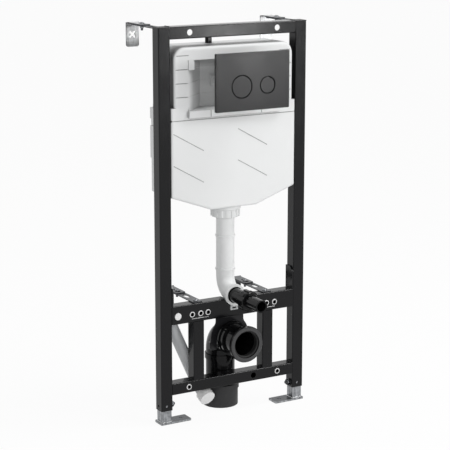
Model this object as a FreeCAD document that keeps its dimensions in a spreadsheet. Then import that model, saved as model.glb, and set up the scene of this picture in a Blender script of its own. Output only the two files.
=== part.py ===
import FreeCAD, Part
import math
import os
from types import SimpleNamespace

import Sketcher

# Wall hung toilet frame: a welded steel frame on two telescopic feet, with a concealed cistern,
# flush pipe, waste bend, wall brackets and a flush plate held out where the finished wall will be.
# X runs across the frame, Y from the front towards the wall, Z up from the floor. The origin is
# on the underside of the left foot, on the axis of the left post.

SIZES = {
    # Posts and rails
    "frame_width": 500.0,
    "frame_height": 1190.0,
    "post_side": 38.0,
    "post_wall": 2.0,
    "corner_round": 3.0,
    "post_clear": 42.0,
    "cap_thick": 2.0,
    "cap_depth": 14.0,
    "cap_edge": 1.0,
    "slip_gap": 0.3,
    "rail_wall": 2.0,
    "top_rail_height": 36.0,
    "top_hole_reach": 147.5,
    "top_hole_radius": 9.0,
    "middle_rail_height": 57.0,
    "low_rail_top": 124.0,
    "low_rail_height": 36.0,
    "upright_reach": 121.0,
    "upright_width": 36.0,
    "gusset_height": 70.0,
    "gusset_thick": 4.0,
    "gusset_slope": 14.0,
    # Heights that the bowl sets
    "waste_inlet_height": 236.0,
    "flush_rise": 138.0,
    "saddle_rise": 10.5,
    "stud_drop": 32.5,
    # Stud bushings and the plug in the rails
    "stud_near_reach": 90.0,
    "stud_far_reach": 115.0,
    "stud_spare_reach": 144.0,
    "bushing_radius": 8.8,
    "bushing_bore": 6.25,
    "bushing_rim": 1.5,
    "bushing_edge": 1.0,
    "low_bushing_reach": 156.0,
    "low_hole_reach": 70.0,
    "low_hole_radius": 9.0,
    "plug_inset": 58.0,
    "plug_radius": 11.0,
    # Feet
    "foot_plate_length": 102.0,
    "foot_plate_width": 44.0,
    "foot_plate_thick": 6.0,
    "foot_plate_overhang": 2.0,
    "foot_wall": 2.5,
    "foot_overlap": 208.0,
    "foot_bolt_inset": 26.0,
    "foot_bolt_radius": 5.5,
    "clamp_rise": 14.0,
    "clamp_shank_radius": 5.0,
    "clamp_head_radius": 8.5,
    "clamp_head_height": 6.5,
    "clamp_end_length": 12.0,
    "clamp_washer_radius": 12.0,
    "clamp_washer_thick": 2.0,
    "service_hole_radius": 4.0,
    # Wall brackets
    "wall_reach": 203.0,
    "wall_travel": 30.0,
    "bracket_thick": 3.0,
    "bracket_gap": 0.3,
    "bracket_bend": 2.5,
    "wall_plate_width": 42.0,
    "wall_plate_height": 73.0,
    "wall_plate_round": 7.0,
    "flange_margin": 7.7,
    "arm_width": 32.0,
    "arm_round": 6.0,
    "arm_end_gap": 6.0,
    "arm_tab_height": 34.0,
    "arm_front": 6.0,
    "bolt_inset": 40.0,
    "bolt_radius": 4.0,
    "bolt_head_radius": 7.5,
    "bolt_head_height": 4.0,
    "bolt_drop": 14.0,
    "nut_radius": 6.5,
    "nut_height": 6.5,
    "slot_radius": 4.3,
    "arm_slot_radius": 7.5,
    "arm_slot_run": 20.0,
    "arm_screw_inset": 16.0,
    "anchor_reach": 9.0,
    "anchor_half": 2.6,
    "anchor_radius": 5.0,
    # Cistern, its heights counted down from the top rail
    "hood_clear": 24.0,
    "hood_height": 175.0,
    "band_height": 37.0,
    "tank_side_height": 226.0,
    "sump_drop": 48.0,
    "tank_front": -3.0,
    "tank_depth": 128.0,
    "tank_side_gap": 1.0,
    "tank_sump_half": 78.0,
    "tank_wall": 4.0,
    "tank_corner": 6.0,
    "tank_edge": 7.0,
    "seam_notch": 4.0,
    "hood_step": 10.0,
    "hood_depth": 116.0,
    "hood_round": 35.0,
    "hood_edge": 9.0,
    "recess_side": 47.0,
    "recess_head": 38.0,
    "recess_step": 10.0,
    "recess_depth": 65.0,
    "recess_taper": 73.0,
    "recess_round": 20.0,
    "recess_lug_width": 24.0,
    "recess_lug_height": 28.0,
    "recess_lug_depth": 24.0,
    "recess_lug_round": 10.0,
    "sill_overlap": 3.0,
    "sill_height": 20.0,
    "sill_depth": 11.0,
    "sill_tick_reach": 86.0,
    "groove_rise": 13.0,
    "rib_pitch": 40.0,
    "groove_width": 2.2,
    "groove_depth": 1.8,
    "line_width": 2.4,
    "line_depth": 1.6,
    "line_run": 100.0,
    "line_fall": 56.0,
    "line_left_start": 205.0,
    "line_right_start": 12.0,
    "line_upper_drop": 36.0,
    "line_lower_drop": 130.0,
    "ear_inset": 15.0,
    "ear_depth": 47.0,
    "ear_gap": 1.0,
    "ear_high_height": 33.0,
    "ear_low_drop": 20.0,
    "ear_low_height": 95.0,
    "inlet_reach": -45.0,
    "inlet_depth": 74.0,
    "inlet_radius": 8.5,
    "inlet_nut_radius": 11.5,
    "inlet_nut_height": 16.0,
    "inlet_height": 42.0,
    # Flush plate and its buttons
    "plate_front": -108.0,
    "plate_drop": 5.0,
    "plate_width": 246.0,
    "plate_height": 168.0,
    "plate_thick": 8.0,
    "plate_round": 3.0,
    "plate_edge": 1.2,
    "button_rise": 70.0,
    "full_button_reach": -37.0,
    "full_button_radius": 32.5,
    "half_button_reach": 49.0,
    "half_button_radius": 24.25,
    "button_gap": 1.4,
    "button_thick": 6.0,
    "button_edge": 1.6,
    "button_travel": 5.0,
    "push_rod_radius": 4.0,
    "push_rod_gap": 0.5,
    "mount_gap": 10.0,
    "mount_thick": 5.0,
    "mount_width": 200.0,
    "mount_height": 110.0,
    "mount_peg_radius": 5.0,
    "plate_stud_reach": 28.0,
    "plate_stud_rise": 46.0,
    "plate_stud_radius": 4.0,
    "lifter_margin": 11.0,
    "lifter_height": 30.0,
    "lifter_depth": 12.0,
    "lifter_pad_radius": 9.0,
    "lifter_pad_depth": 8.0,
    # Flush pipe and connector
    "flush_axis_depth": 53.0,
    "flush_radius": 28.0,
    "flush_wall": 2.5,
    "flush_bend": 50.0,
    "flush_lip_length": 8.0,
    "flush_lip_radius": 33.0,
    "flush_bead_drop": 98.0,
    "flush_bead_rise": 68.0,
    "flush_bead_radius": 30.5,
    "flush_bead_length": 4.0,
    "collar_radius": 47.0,
    "collar_foot_radius": 42.0,
    "collar_height": 36.0,
    "collar_brim": 12.0,
    "collar_edge": 2.0,
    "collar_rib_width": 5.0,
    "collar_rib_inset": 2.0,
    "connector_radius": 22.5,
    "connector_bore": 15.0,
    "connector_insert": 12.0,
    "connector_reach": 54.0,
    "connector_collar_radius": 28.0,
    "connector_collar_length": 34.0,
    "connector_edge": 2.5,
    "connector_nose_radius": 19.5,
    "connector_nose_length": 65.0,
    "connector_rib_rise": 3.5,
    "connector_rib_width": 9.0,
    "clip_thick": 2.5,
    "clip_length": 6.0,
    "clip_tab_width": 26.0,
    "clip_tab_height": 14.0,
    "clip_slot_width": 14.0,
    "clip_slot_height": 5.0,
    "clip_slot_rise": 4.0,
    # Waste bend and connector
    "waste_rail_gap": 1.0,
    "waste_radius": 45.0,
    "waste_wall": 3.0,
    "waste_bend": 54.0,
    "waste_socket_front": -18.0,
    "waste_socket_length": 32.0,
    "waste_socket_wall": 4.0,
    "waste_rim_radius": 52.0,
    "waste_rim_length": 9.0,
    "waste_collar_radius": 55.0,
    "waste_collar_length": 6.0,
    "waste_collar_setback": 18.0,
    "outlet_socket_top": 75.0,
    "outlet_socket_bottom": 5.0,
    "outlet_socket_radius": 55.0,
    "outlet_collar_radius": 58.0,
    "outlet_collar_length": 16.0,
    "waste_band_radius": 48.5,
    "waste_band_length": 16.0,
    "waste_band_drop": 12.0,
    "waste_web": 5.0,
    "waste_web_height": 48.0,
    "waste_pipe_clear": 0.3,
    "waste_pipe_reach": 60.0,
    "waste_flange_length": 11.0,
    "waste_flange_radius": 56.0,
    "waste_flange_edge": 2.0,
    "waste_seal_thick": 4.0,
    "waste_seal_length": 18.0,
    "waste_seal_edge": 1.5,
    "holder_front": 25.0,
    "holder_thick": 4.0,
    "holder_neck_half": 48.0,
    "holder_radius": 66.0,
    "holder_drop": 36.0,
    "holder_blend": 22.0,
    "holder_lug_width": 6.0,
    "holder_lug_drop": 9.0,
    "holder_lug_height": 22.0,
    "holder_lug_depth": 10.0,
    # Service conduit
    "conduit_radius": 18.5,
    "conduit_wall": 2.0,
    "conduit_inset": 50.0,
    "conduit_depth": 66.0,
    "conduit_rise": 30.0,
    "conduit_knee_rise": 23.5,
    "conduit_heel_reach": 86.0,
    "conduit_heel_drop": 12.0,
    "conduit_end_reach": 82.0,
    "conduit_end_depth": 22.0,
    "conduit_end_drop": 23.0,
    "conduit_knee_bend": 120.0,
    "conduit_heel_bend": 36.0,
    "conduit_cap_rim": 6.0,
    "conduit_cap_thick": 4.0,
    "conduit_cap_sleeve": 22.0,
    "conduit_clip_height": 24.0,
    "conduit_clip_drop": 74.0,
    "conduit_clip_rise": 66.0,
}

COLLAR_RIBS = 16
CONNECTOR_RIBS = 8


class Size:
    """A length that keeps its formula, so that a feature can be bound to the sheet."""

    def __init__(self, value, text):
        self.value = float(value)
        self.text = text

    def __add__(self, other):
        other = as_size(other)
        return Size(self.value + other.value, f"({self.text} + {other.text})")

    def __sub__(self, other):
        other = as_size(other)
        return Size(self.value - other.value, f"({self.text} - {other.text})")

    def __mul__(self, factor):
        return Size(self.value * factor, f"({self.text} * {factor})")

    def __truediv__(self, divisor):
        return Size(self.value / divisor, f"({self.text} / {divisor})")

    def __neg__(self):
        return Size(-self.value, f"(-{self.text})")

    def __rsub__(self, other):
        return as_size(other) - self

    __radd__ = __add__
    __rmul__ = __mul__


def as_size(item):
    """A plain number becomes a size with itself as its formula."""
    if isinstance(item, Size):
        return item
    return Size(item, f"{item:g}")


doc = FreeCAD.newDocument("WallHungToiletFrame")
sheet = doc.addObject("Spreadsheet::Sheet", "Sizes")
for row, (alias, number) in enumerate(SIZES.items(), start=1):
    sheet.set(f"A{row}", alias.replace("_", " "))
    sheet.set(f"B{row}", f"{number:g}")
    sheet.setAlias(f"B{row}", alias)
doc.recompute()
d = SimpleNamespace(**{alias: Size(number, f"Sizes.{alias}") for alias, number in SIZES.items()})

# Places worked out from the driving sizes
half_span = (d.frame_width - d.post_side) / 2
inner_span = d.frame_width - 2 * d.post_side
post_face = inner_span / 2
post_depth = d.post_side
post_inside = d.post_side - 2 * d.post_wall
slide_side = post_inside - 2 * d.slip_gap
top_rail_bottom = d.frame_height - d.top_rail_height
low_rail_bottom = d.low_rail_top - d.low_rail_height
low_bushing_height = low_rail_bottom + d.low_rail_height / 2
flush_outlet_height = d.waste_inlet_height + d.flush_rise
middle_rail_top = flush_outlet_height - d.saddle_rise
middle_rail_bottom = middle_rail_top - d.middle_rail_height
stud_height = middle_rail_top - d.stud_drop
plug_reach = d.frame_width / 2 - d.plug_inset
clamp_height = d.post_clear + d.clamp_rise

# The cistern hangs from the top rail, so its heights are counted from there
hood_top = top_rail_bottom - d.hood_clear
band_top = hood_top - d.hood_height
tank_seam = band_top - d.band_height
tank_shoulder = tank_seam - d.tank_side_height
tank_bottom = tank_shoulder - d.sump_drop
tank_half_width = post_face - d.tank_side_gap
hood_half_width = tank_half_width - d.hood_step
recess_half_width = hood_half_width - d.recess_side
recess_bottom = band_top - d.recess_step
recess_top = hood_top - d.recess_head
recess_back = d.tank_front + d.recess_depth

# The flush plate stands in front of the recess
plate_bottom = band_top - d.plate_drop
plate_middle = plate_bottom + d.plate_height / 2
plate_back = d.plate_front + d.plate_thick
button_height = plate_bottom + d.button_rise
mount_front = plate_back + d.mount_gap
mount_back = mount_front + d.mount_thick
lifter_base_front = recess_back - d.lifter_depth
lifter_front = lifter_base_front - d.lifter_pad_depth

# The bolt of a wall bracket and the slot that it clamps
arm_end = d.wall_reach - d.bracket_thick - d.wall_travel / 2 - d.arm_end_gap
bolt_reach = arm_end - d.bolt_inset
flange_length = d.wall_reach - bolt_reach + d.wall_travel / 2 + d.slot_radius + d.flange_margin

# Waste pipe and its socket
waste_axis_depth = post_depth + d.waste_rail_gap + d.waste_radius
waste_bore = d.waste_radius - d.waste_wall
socket_bore = d.waste_radius + d.waste_pipe_clear
socket_radius = socket_bore + d.waste_socket_wall
socket_back = d.waste_socket_front + d.waste_socket_length
waste_flange_front = d.waste_socket_front - d.waste_pipe_reach

# Conduit down the left post
conduit_reach = d.frame_width / 2 - d.conduit_inset
conduit_top = tank_bottom + d.conduit_rise
conduit_heel_height = low_rail_bottom - d.conduit_heel_drop

AXES = {
    "X": FreeCAD.Rotation(FreeCAD.Vector(0, 1, 0), 90),
    "Y": FreeCAD.Rotation(FreeCAD.Vector(1, 0, 0), -90),
    "Z": FreeCAD.Rotation(),
}
PLANES = {"front": "XZ_Plane", "side": "YZ_Plane", "top": "XY_Plane"}

parts = {}


def bind(item, path, size):
    """Tie one property of an object to a formula of the sheet."""
    item.setExpression(path, as_size(size).text)


def place(item, x, y, z, rotation=None):
    """Put an object at a point given from the centre plane, the frame's front and the floor."""
    item.Placement = FreeCAD.Placement(FreeCAD.Vector(), rotation or FreeCAD.Rotation())
    bind(item, "Placement.Base.x", half_span + x)
    bind(item, "Placement.Base.y", as_size(y) - d.post_side / 2)
    bind(item, "Placement.Base.z", z)


def block(name, x, y, z, length, width, height):
    """A box centred on x, running back from y and up from z."""
    item = doc.addObject("Part::Box", name)
    bind(item, "Length", length)
    bind(item, "Width", width)
    bind(item, "Height", height)
    place(item, as_size(x) - as_size(length) / 2, y, z)
    return item


def rod(name, axis, x, y, z, radius, length):
    """A round bar that starts at a point and runs along one axis."""
    item = doc.addObject("Part::Cylinder", name)
    bind(item, "Radius", radius)
    bind(item, "Height", length)
    place(item, x, y, z, AXES[axis])
    return item


def hexagon(name, axis, x, y, z, radius, length):
    """A six-sided bar, such as a nut or a bolt's head."""
    item = doc.addObject("Part::Prism", name)
    item.Polygon = 6
    bind(item, "Circumradius", radius)
    bind(item, "Height", length)
    place(item, x, y, z, AXES[axis])
    return item


def slot(name, axis, x, y, z, radius, length, depth):
    """A round-ended bar for cutting a slot: its middle is at the point, its length along Y or Z."""
    run = as_size(length) / 2
    if axis == "Z":
        first = rod(name + "_first", axis, x, as_size(y) - run, z, radius, depth)
        last = rod(name + "_last", axis, x, as_size(y) + run, z, radius, depth)
        web = block(name + "_web", x, as_size(y) - run, z, 2 * as_size(radius), length, depth)
    else:
        first = rod(name + "_first", axis, x, y, as_size(z) - run, radius, depth)
        last = rod(name + "_last", axis, x, y, as_size(z) + run, radius, depth)
        web = block(name + "_web", x, y, as_size(z) - run, 2 * as_size(radius), depth, length)
    return fuse(name, first, last, web)


def fuse(name, *pieces):
    """Pieces joined into one object, or kept as separate solids where they don't touch."""
    item = doc.addObject("Part::MultiFuse", name)
    item.Shapes = list(pieces)
    item.Refine = True
    return item


def cut(name, base, *tools):
    """A base with one or more tools taken out of it."""
    item = doc.addObject("Part::Cut", name)
    item.Base = base
    item.Tool = tools[0] if len(tools) == 1 else fuse(name + "_tools", *tools)
    item.Refine = True
    return item


def rounded(name, base, radius, wanted):
    """A copy of a base with the wanted edges rounded."""
    doc.recompute()
    item = doc.addObject("Part::Fillet", name)
    item.Base = base
    size = as_size(radius).value
    numbered = enumerate(base.Shape.Edges, start=1)
    item.Edges = [(number, size, size) for number, edge in numbered if wanted(edge)]
    return item


def runs_along(edge, axis):
    """Whether an edge is straight and lies along X, Y or Z."""
    if not isinstance(edge.Curve, Part.Line):
        return False
    return abs(getattr(edge.Curve.Direction, axis.lower())) > 0.999


def lies_at(edge, axis, size):
    """Whether an edge's middle is at a place across, along or above, given as block's are."""
    shift = {"x": half_span.value, "y": -d.post_side.value / 2, "z": 0.0}[axis]
    return abs(getattr(edge.CenterOfMass, axis) - shift - as_size(size).value) < 0.01


def draw(body, plane, corners):
    """A closed outline on one of a body's planes, each corner tied to the sheet."""
    sketch = body.newObject("Sketcher::SketchObject", body.Name + "_outline")
    planes = body.Origin.OriginFeatures
    sketch.AttachmentSupport = (next(p for p in planes if p.Role == PLANES[plane]), [""])
    sketch.MapMode = "FlatFace"
    corners = [(as_size(across), as_size(up)) for across, up in corners]
    points = [FreeCAD.Vector(across.value, up.value, 0) for across, up in corners]
    for start, end in zip(points, points[1:] + points[:1]):
        sketch.addGeometry(Part.LineSegment(start, end), False)
    for number, (across, up) in enumerate(corners):
        follower = (number + 1) % len(corners)
        sketch.addConstraint(Sketcher.Constraint("Coincident", number, 2, follower, 1))
        for kind, size in (("DistanceX", across), ("DistanceY", up)):
            tie = Sketcher.Constraint(kind, -1, 1, number, 1, size.value)
            index = sketch.addConstraint(tie)
            sketch.setExpression(f"Constraints[{index}]", size.text)
    return sketch


def slab(name, plane, corners, x, y, z, thick):
    """An outline made solid: a front outline runs back from y, a top outline up from z."""
    body = doc.addObject("PartDesign::Body", name)
    sketch = draw(body, plane, corners)
    pad = body.newObject("PartDesign::Pad", name + "_pad")
    pad.Profile = sketch
    pad.Reversed = plane == "front"
    bind(pad, "Length", thick)
    place(body, x, y, z)
    return body


def turned(name, axis, x, y, z, profile):
    """A profile of (radius, distance along the axis) corners turned about an axis."""
    body = doc.addObject("PartDesign::Body", name)
    sketch = draw(body, "front", profile)
    turn = body.newObject("PartDesign::Revolution", name + "_turn")
    turn.Profile = sketch
    turn.ReferenceAxis = (sketch, ["V_Axis"])
    turn.Angle = 360
    place(body, x, y, z, AXES[axis])
    return body


def ribbed(body, inner, outer, width, bottom, height, count):
    """Ribs set at even angles round a turned body, each reaching out to the outer radius."""
    half = width / 2
    sketch = draw(body, "top", [(inner, -half), (outer, -half), (outer, half), (inner, half)])
    bind(sketch, "AttachmentOffset.Base.z", bottom)
    rib = body.newObject("PartDesign::Pad", body.Name + "_rib")
    rib.Profile = sketch
    bind(rib, "Length", height)
    ring = body.newObject("PartDesign::PolarPattern", body.Name + "_ribs")
    ring.Originals = [rib]
    ring.Axis = (sketch, ["N_Axis"])
    ring.Angle = 360
    ring.Occurrences = count
    body.Tip = ring
    return body


def elbow(name, radius, y, top, height, bend, front):
    """A round bar that comes down from top at depth y, bends and runs forward to front."""
    upright = rod(name + "_upright", "Z", 0, y, height + bend, radius, top - height - bend)
    level = rod(name + "_level", "Y", 0, front, height, radius, y - bend - front)
    turn = doc.addObject("Part::Torus", name + "_turn")
    bind(turn, "Radius1", bend)
    bind(turn, "Radius2", radius)
    turn.Angle3 = 90
    place(turn, 0, y - bend, height + bend, AXES["X"])
    return fuse(name, upright, turn, level)


def node(name, item):
    """Name a finished sub-part."""
    item.Label = name
    parts[name] = item


# Posts, with their telescope bore, caps, service holes and clamp holes
def make_post(name, side):
    x = side * half_span
    length = d.frame_height - d.cap_thick - d.post_clear
    tube = block(name + "_tube", x, 0, d.post_clear, d.post_side, post_depth, length)
    round_tube = rounded(name + "_round", tube, d.corner_round, lambda edge: runs_along(edge, "Z"))
    bore = block(name + "_bore", x, d.post_wall, d.post_clear, post_inside, post_inside, length)
    middle = d.post_side / 2
    inner_face = side * post_face
    start = inner_face if side > 0 else inner_face - d.post_wall
    clamp = rod(name + "_clamp", "X", start, middle, clamp_height,
                d.clamp_shank_radius + d.slip_gap, d.post_wall)
    front = rod(name + "_front", "Y", x, 0, clamp_height, d.service_hole_radius, d.post_wall)
    outer_face = x + side * middle
    begin = outer_face - d.post_wall if side > 0 else outer_face
    outer = rod(name + "_outer", "X", begin, middle, clamp_height, d.service_hole_radius,
                d.post_wall)
    node(name, cut(name, round_tube, bore, clamp, front, outer))


def make_post_caps():
    caps = []
    for label, side in (("left", -1), ("right", 1)):
        x = side * half_span
        top = block(f"{label}_cap_top", x, 0, d.frame_height - d.cap_thick, d.post_side,
                    d.post_side, d.cap_thick)
        plug_bottom = d.frame_height - d.cap_thick - d.cap_depth
        plug = block(f"{label}_cap_plug", x, d.post_wall + d.slip_gap, plug_bottom, slide_side,
                     slide_side, d.cap_depth)
        cap = fuse(f"{label}_cap_body", top, plug)
        caps.append(rounded(f"{label}_cap", cap, d.cap_edge,
                            lambda edge: lies_at(edge, "z", d.frame_height)))
    node("post_caps", fuse("post_caps", *caps))


# Rails and uprights
def make_top_rail():
    wall = d.rail_wall
    bar = block("top_rail_bar", 0, 0, top_rail_bottom, inner_span, post_depth, d.top_rail_height)
    bent = rounded("top_rail_bent", bar, d.corner_round,
                   lambda edge: runs_along(edge, "X") and lies_at(edge, "y", 0))
    hollow = block("top_rail_hollow", 0, wall, top_rail_bottom + wall, inner_span,
                   post_depth - wall, d.top_rail_height - 2 * wall)
    holes = [rod(f"top_rail_hole_{number}", "Y", side * d.top_hole_reach, 0,
                 top_rail_bottom + d.top_rail_height / 2, d.top_hole_radius, wall)
             for number, side in enumerate((-1, 1))]
    node("top_rail", cut("top_rail", bent, hollow, *holes))


def make_rail(name, bottom, height, cutters):
    wall = d.rail_wall
    bar = block(name + "_bar", 0, 0, bottom, inner_span, post_depth, height)
    tube = rounded(name + "_tube", bar, d.corner_round, lambda edge: runs_along(edge, "X"))
    hollow = block(name + "_hollow", 0, wall, bottom + wall, inner_span, post_depth - 2 * wall,
                   height - 2 * wall)
    node(name, cut(name, tube, hollow, *cutters))


def stud_places():
    reaches = (d.stud_near_reach, d.stud_far_reach, d.stud_spare_reach)
    return [side * reach for side in (-1, 1) for reach in reaches]


def low_bushing_places():
    return [side * d.low_bushing_reach for side in (-1, 1)]


def make_middle_rail():
    holes = [rod(f"stud_hole_{number}", "Y", x, 0, stud_height, d.bushing_radius, post_depth)
             for number, x in enumerate(stud_places())]
    plug = rod("plug_hole", "Y", -plug_reach, 0, stud_height, d.plug_radius, d.rail_wall)
    saddle = rod("flush_saddle", "Y", 0, 0, flush_outlet_height, d.flush_radius + d.slip_gap,
                 post_depth)
    make_rail("middle_rail", middle_rail_bottom, d.middle_rail_height, [*holes, plug, saddle])


def make_low_rail():
    holes = [rod(f"low_bushing_hole_{number}", "Y", x, 0, low_bushing_height,
                 d.bushing_radius, post_depth) for number, x in enumerate(low_bushing_places())]
    plain = rod("low_plain_hole", "Y", d.low_hole_reach, 0, low_bushing_height,
                d.low_hole_radius, d.rail_wall)
    make_rail("low_rail", low_rail_bottom, d.low_rail_height, [*holes, plain])


def make_upright(name, side):
    height = middle_rail_bottom - d.low_rail_top
    x = side * d.upright_reach
    bar = block(name + "_bar", x, 0, d.low_rail_top, d.upright_width, post_depth, height)
    tube = rounded(name + "_tube", bar, d.corner_round, lambda edge: runs_along(edge, "Z"))
    wall = d.rail_wall
    hollow = block(name + "_hollow", x, wall, d.low_rail_top, d.upright_width - 2 * wall,
                   post_depth - 2 * wall, height)
    node(name, cut(name, tube, hollow))


def make_gussets():
    plates = []
    for label, side in (("left", -1), ("right", 1)):
        face = side * post_face
        outline = [(0, 0), (post_depth, 0), (post_depth, d.gusset_height),
                   (d.gusset_slope, d.gusset_height), (0, d.gusset_height - d.gusset_slope)]
        start = face - d.gusset_thick if side > 0 else face
        plates.append(slab(f"{label}_gusset", "side", outline, start, 0, middle_rail_top,
                           d.gusset_thick))
    node("post_gussets", fuse("post_gussets", *plates))


def make_bushings(name, places, height):
    sleeves = []
    for number, x in enumerate(places):
        profile = [(d.bushing_bore, -d.bushing_rim),
                   (d.bushing_radius - d.bushing_edge, -d.bushing_rim),
                   (d.bushing_radius, d.bushing_edge - d.bushing_rim),
                   (d.bushing_radius, post_depth), (d.bushing_bore, post_depth)]
        sleeves.append(turned(f"{name}_{number}", "Y", x, 0, height, profile))
    node(name, fuse(name, *sleeves))


def make_rail_plug():
    profile = [(0, -d.bushing_rim), (d.plug_radius - d.bushing_edge, -d.bushing_rim),
               (d.plug_radius, d.bushing_edge - d.bushing_rim), (d.plug_radius, d.rail_wall),
               (0, d.rail_wall)]
    node("rail_plug", turned("rail_plug", "Y", -plug_reach, 0, stud_height, profile))


# Feet and the screws that clamp them
def make_foot(label, side):
    outer_end = d.frame_width / 2 + d.foot_plate_overhang
    plate_front = (d.post_side - d.foot_plate_width) / 2
    plate = block(label + "_plate_blank", side * (outer_end - d.foot_plate_length / 2), plate_front,
                  0, d.foot_plate_length, d.foot_plate_width, d.foot_plate_thick)
    corners = rounded(label + "_plate_corners", plate, d.corner_round,
                      lambda edge: runs_along(edge, "Z"))
    bolt_reach = outer_end - d.foot_plate_length + d.foot_bolt_inset
    bolt = rod(label + "_plate_bolt", "Z", side * bolt_reach, d.post_side / 2, 0,
               d.foot_bolt_radius, d.foot_plate_thick)
    node(f"{label}_foot_plate", cut(f"{label}_foot_plate", corners, bolt))

    x = side * half_span
    front = d.post_wall + d.slip_gap
    height = d.post_clear + d.foot_overlap - d.foot_plate_thick
    tube = block(label + "_leg_tube", x, front, d.foot_plate_thick, slide_side, slide_side, height)
    outside = rounded(label + "_leg_round", tube, d.corner_round,
                      lambda edge: runs_along(edge, "Z"))
    hollow = slide_side - 2 * d.foot_wall
    bore = block(label + "_leg_bore", x, front + d.foot_wall, d.foot_plate_thick, hollow, hollow,
                 height)
    node(f"{label}_leg", cut(f"{label}_leg", outside, bore))


def make_clamp_screws():
    screws = []
    middle = d.post_side / 2
    for label, side in (("left", -1), ("right", 1)):
        face = side * post_face
        inward = -side
        shank = d.post_wall + d.slip_gap / 2
        washer_end = face + inward * d.clamp_washer_thick
        head_end = washer_end + inward * d.clamp_head_height
        screw_end = head_end + inward * d.clamp_end_length
        shank_start = face if side > 0 else face - shank
        pieces = [
            rod(f"{label}_clamp_shank", "X", shank_start, middle, clamp_height,
                d.clamp_shank_radius, shank),
            rod(f"{label}_clamp_washer", "X", washer_end if side > 0 else face, middle,
                clamp_height, d.clamp_washer_radius, d.clamp_washer_thick),
            hexagon(f"{label}_clamp_head", "X", head_end if side > 0 else washer_end, middle,
                    clamp_height, d.clamp_head_radius, d.clamp_head_height),
            rod(f"{label}_clamp_end", "X", screw_end if side > 0 else head_end, middle,
                clamp_height, d.clamp_shank_radius, d.clamp_end_length),
        ]
        screws.append(fuse(f"{label}_clamp", *pieces))
    node("clamp_screws", fuse("clamp_screws", *screws))


# Wall brackets: an arm fixed to the frame and an angle plate that slides along it
def make_arm(prefix, x, arm_top, arm_start, has_tab):
    thick = d.bracket_thick
    arm_bottom = arm_top - thick
    strap = block(prefix + "_strap", x, arm_start, arm_bottom, d.arm_width, arm_end - arm_start,
                  thick)
    arm = rounded(prefix + "_strap_ends", strap, d.arm_round,
                  lambda edge: runs_along(edge, "Z")
                  and (lies_at(edge, "y", arm_end) or not has_tab))
    if has_tab:
        tab = block(prefix + "_tab", x, arm_start, arm_top - d.arm_tab_height, d.arm_width, thick,
                    d.arm_tab_height)
        tab_end = rounded(prefix + "_tab_end", tab, d.arm_round,
                          lambda edge: runs_along(edge, "Y")
                          and lies_at(edge, "z", arm_top - d.arm_tab_height))
        bent = fuse(prefix + "_bent", arm, tab_end)
        arm = rounded(prefix + "_bend", bent, d.bracket_bend,
                      lambda edge: runs_along(edge, "X") and lies_at(edge, "y", arm_start)
                      and lies_at(edge, "z", arm_top))
    bolt_hole = rod(prefix + "_bolt_hole", "Z", x, bolt_reach, arm_bottom, d.slot_radius, thick)
    spare = slot(prefix + "_spare_slot", "Z", x, bolt_reach - 2 * d.wall_travel, arm_bottom,
                 d.arm_slot_radius, d.arm_slot_run, thick)
    node(prefix + "_arm", cut(prefix + "_arm", arm, bolt_hole, spare))


def make_wall_plate(prefix, x, flange_bottom):
    thick = d.bracket_thick
    flange_top = flange_bottom + thick
    wall_front = d.wall_reach - thick
    wall_bottom = flange_top - d.wall_plate_height
    flange = block(prefix + "_flange", x, d.wall_reach - flange_length, flange_bottom,
                   d.arm_width, flange_length, thick)
    flange_end = rounded(prefix + "_flange_end", flange, d.arm_round,
                         lambda edge: runs_along(edge, "Z")
                         and lies_at(edge, "y", d.wall_reach - flange_length))
    wall = block(prefix + "_wall", x, wall_front, wall_bottom, d.wall_plate_width, thick,
                 d.wall_plate_height)
    wall_end = rounded(prefix + "_wall_end", wall, d.wall_plate_round,
                       lambda edge: runs_along(edge, "Y") and lies_at(edge, "z", wall_bottom))
    angle = rounded(prefix + "_angle", fuse(prefix + "_angle_blank", flange_end, wall_end),
                    d.bracket_bend,
                    lambda edge: runs_along(edge, "X") and lies_at(edge, "y", d.wall_reach)
                    and lies_at(edge, "z", flange_top))
    way = slot(prefix + "_way", "Z", x, bolt_reach, flange_bottom, d.slot_radius, d.wall_travel,
               thick)
    anchor_height = flange_top - d.wall_plate_height / 2
    near = d.anchor_reach - d.anchor_half
    far = d.anchor_reach + d.anchor_half
    arms = [[(near, far), (far, near), (-near, -far), (-far, -near)],
            [(-near, far), (-far, near), (near, -far), (far, -near)]]
    cross = [slab(f"{prefix}_anchor_arm_{number}", "front", outline, x, wall_front, anchor_height,
                  thick) for number, outline in enumerate(arms)]
    hole = rod(prefix + "_anchor_hole", "Y", x, wall_front, anchor_height, d.anchor_radius, thick)
    node(prefix + "_wall_plate", cut(prefix + "_wall_plate", angle, way, hole, *cross))


def make_bracket_bolt(prefix, x, arm_top):
    arm_bottom = arm_top - d.bracket_thick
    head_bottom = arm_top + d.bracket_thick + 2 * d.bracket_gap
    shank = rod(prefix + "_shank", "Z", x, bolt_reach, arm_bottom - d.bolt_drop, d.bolt_radius,
                d.bolt_drop + head_bottom - arm_bottom)
    head = rod(prefix + "_head", "Z", x, bolt_reach, head_bottom, d.bolt_head_radius,
               d.bolt_head_height)
    nut = hexagon(prefix + "_nut", "Z", x, bolt_reach, arm_bottom - d.nut_height, d.nut_radius,
                  d.nut_height)
    return fuse(prefix + "_bolt", shank, head, nut)


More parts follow.
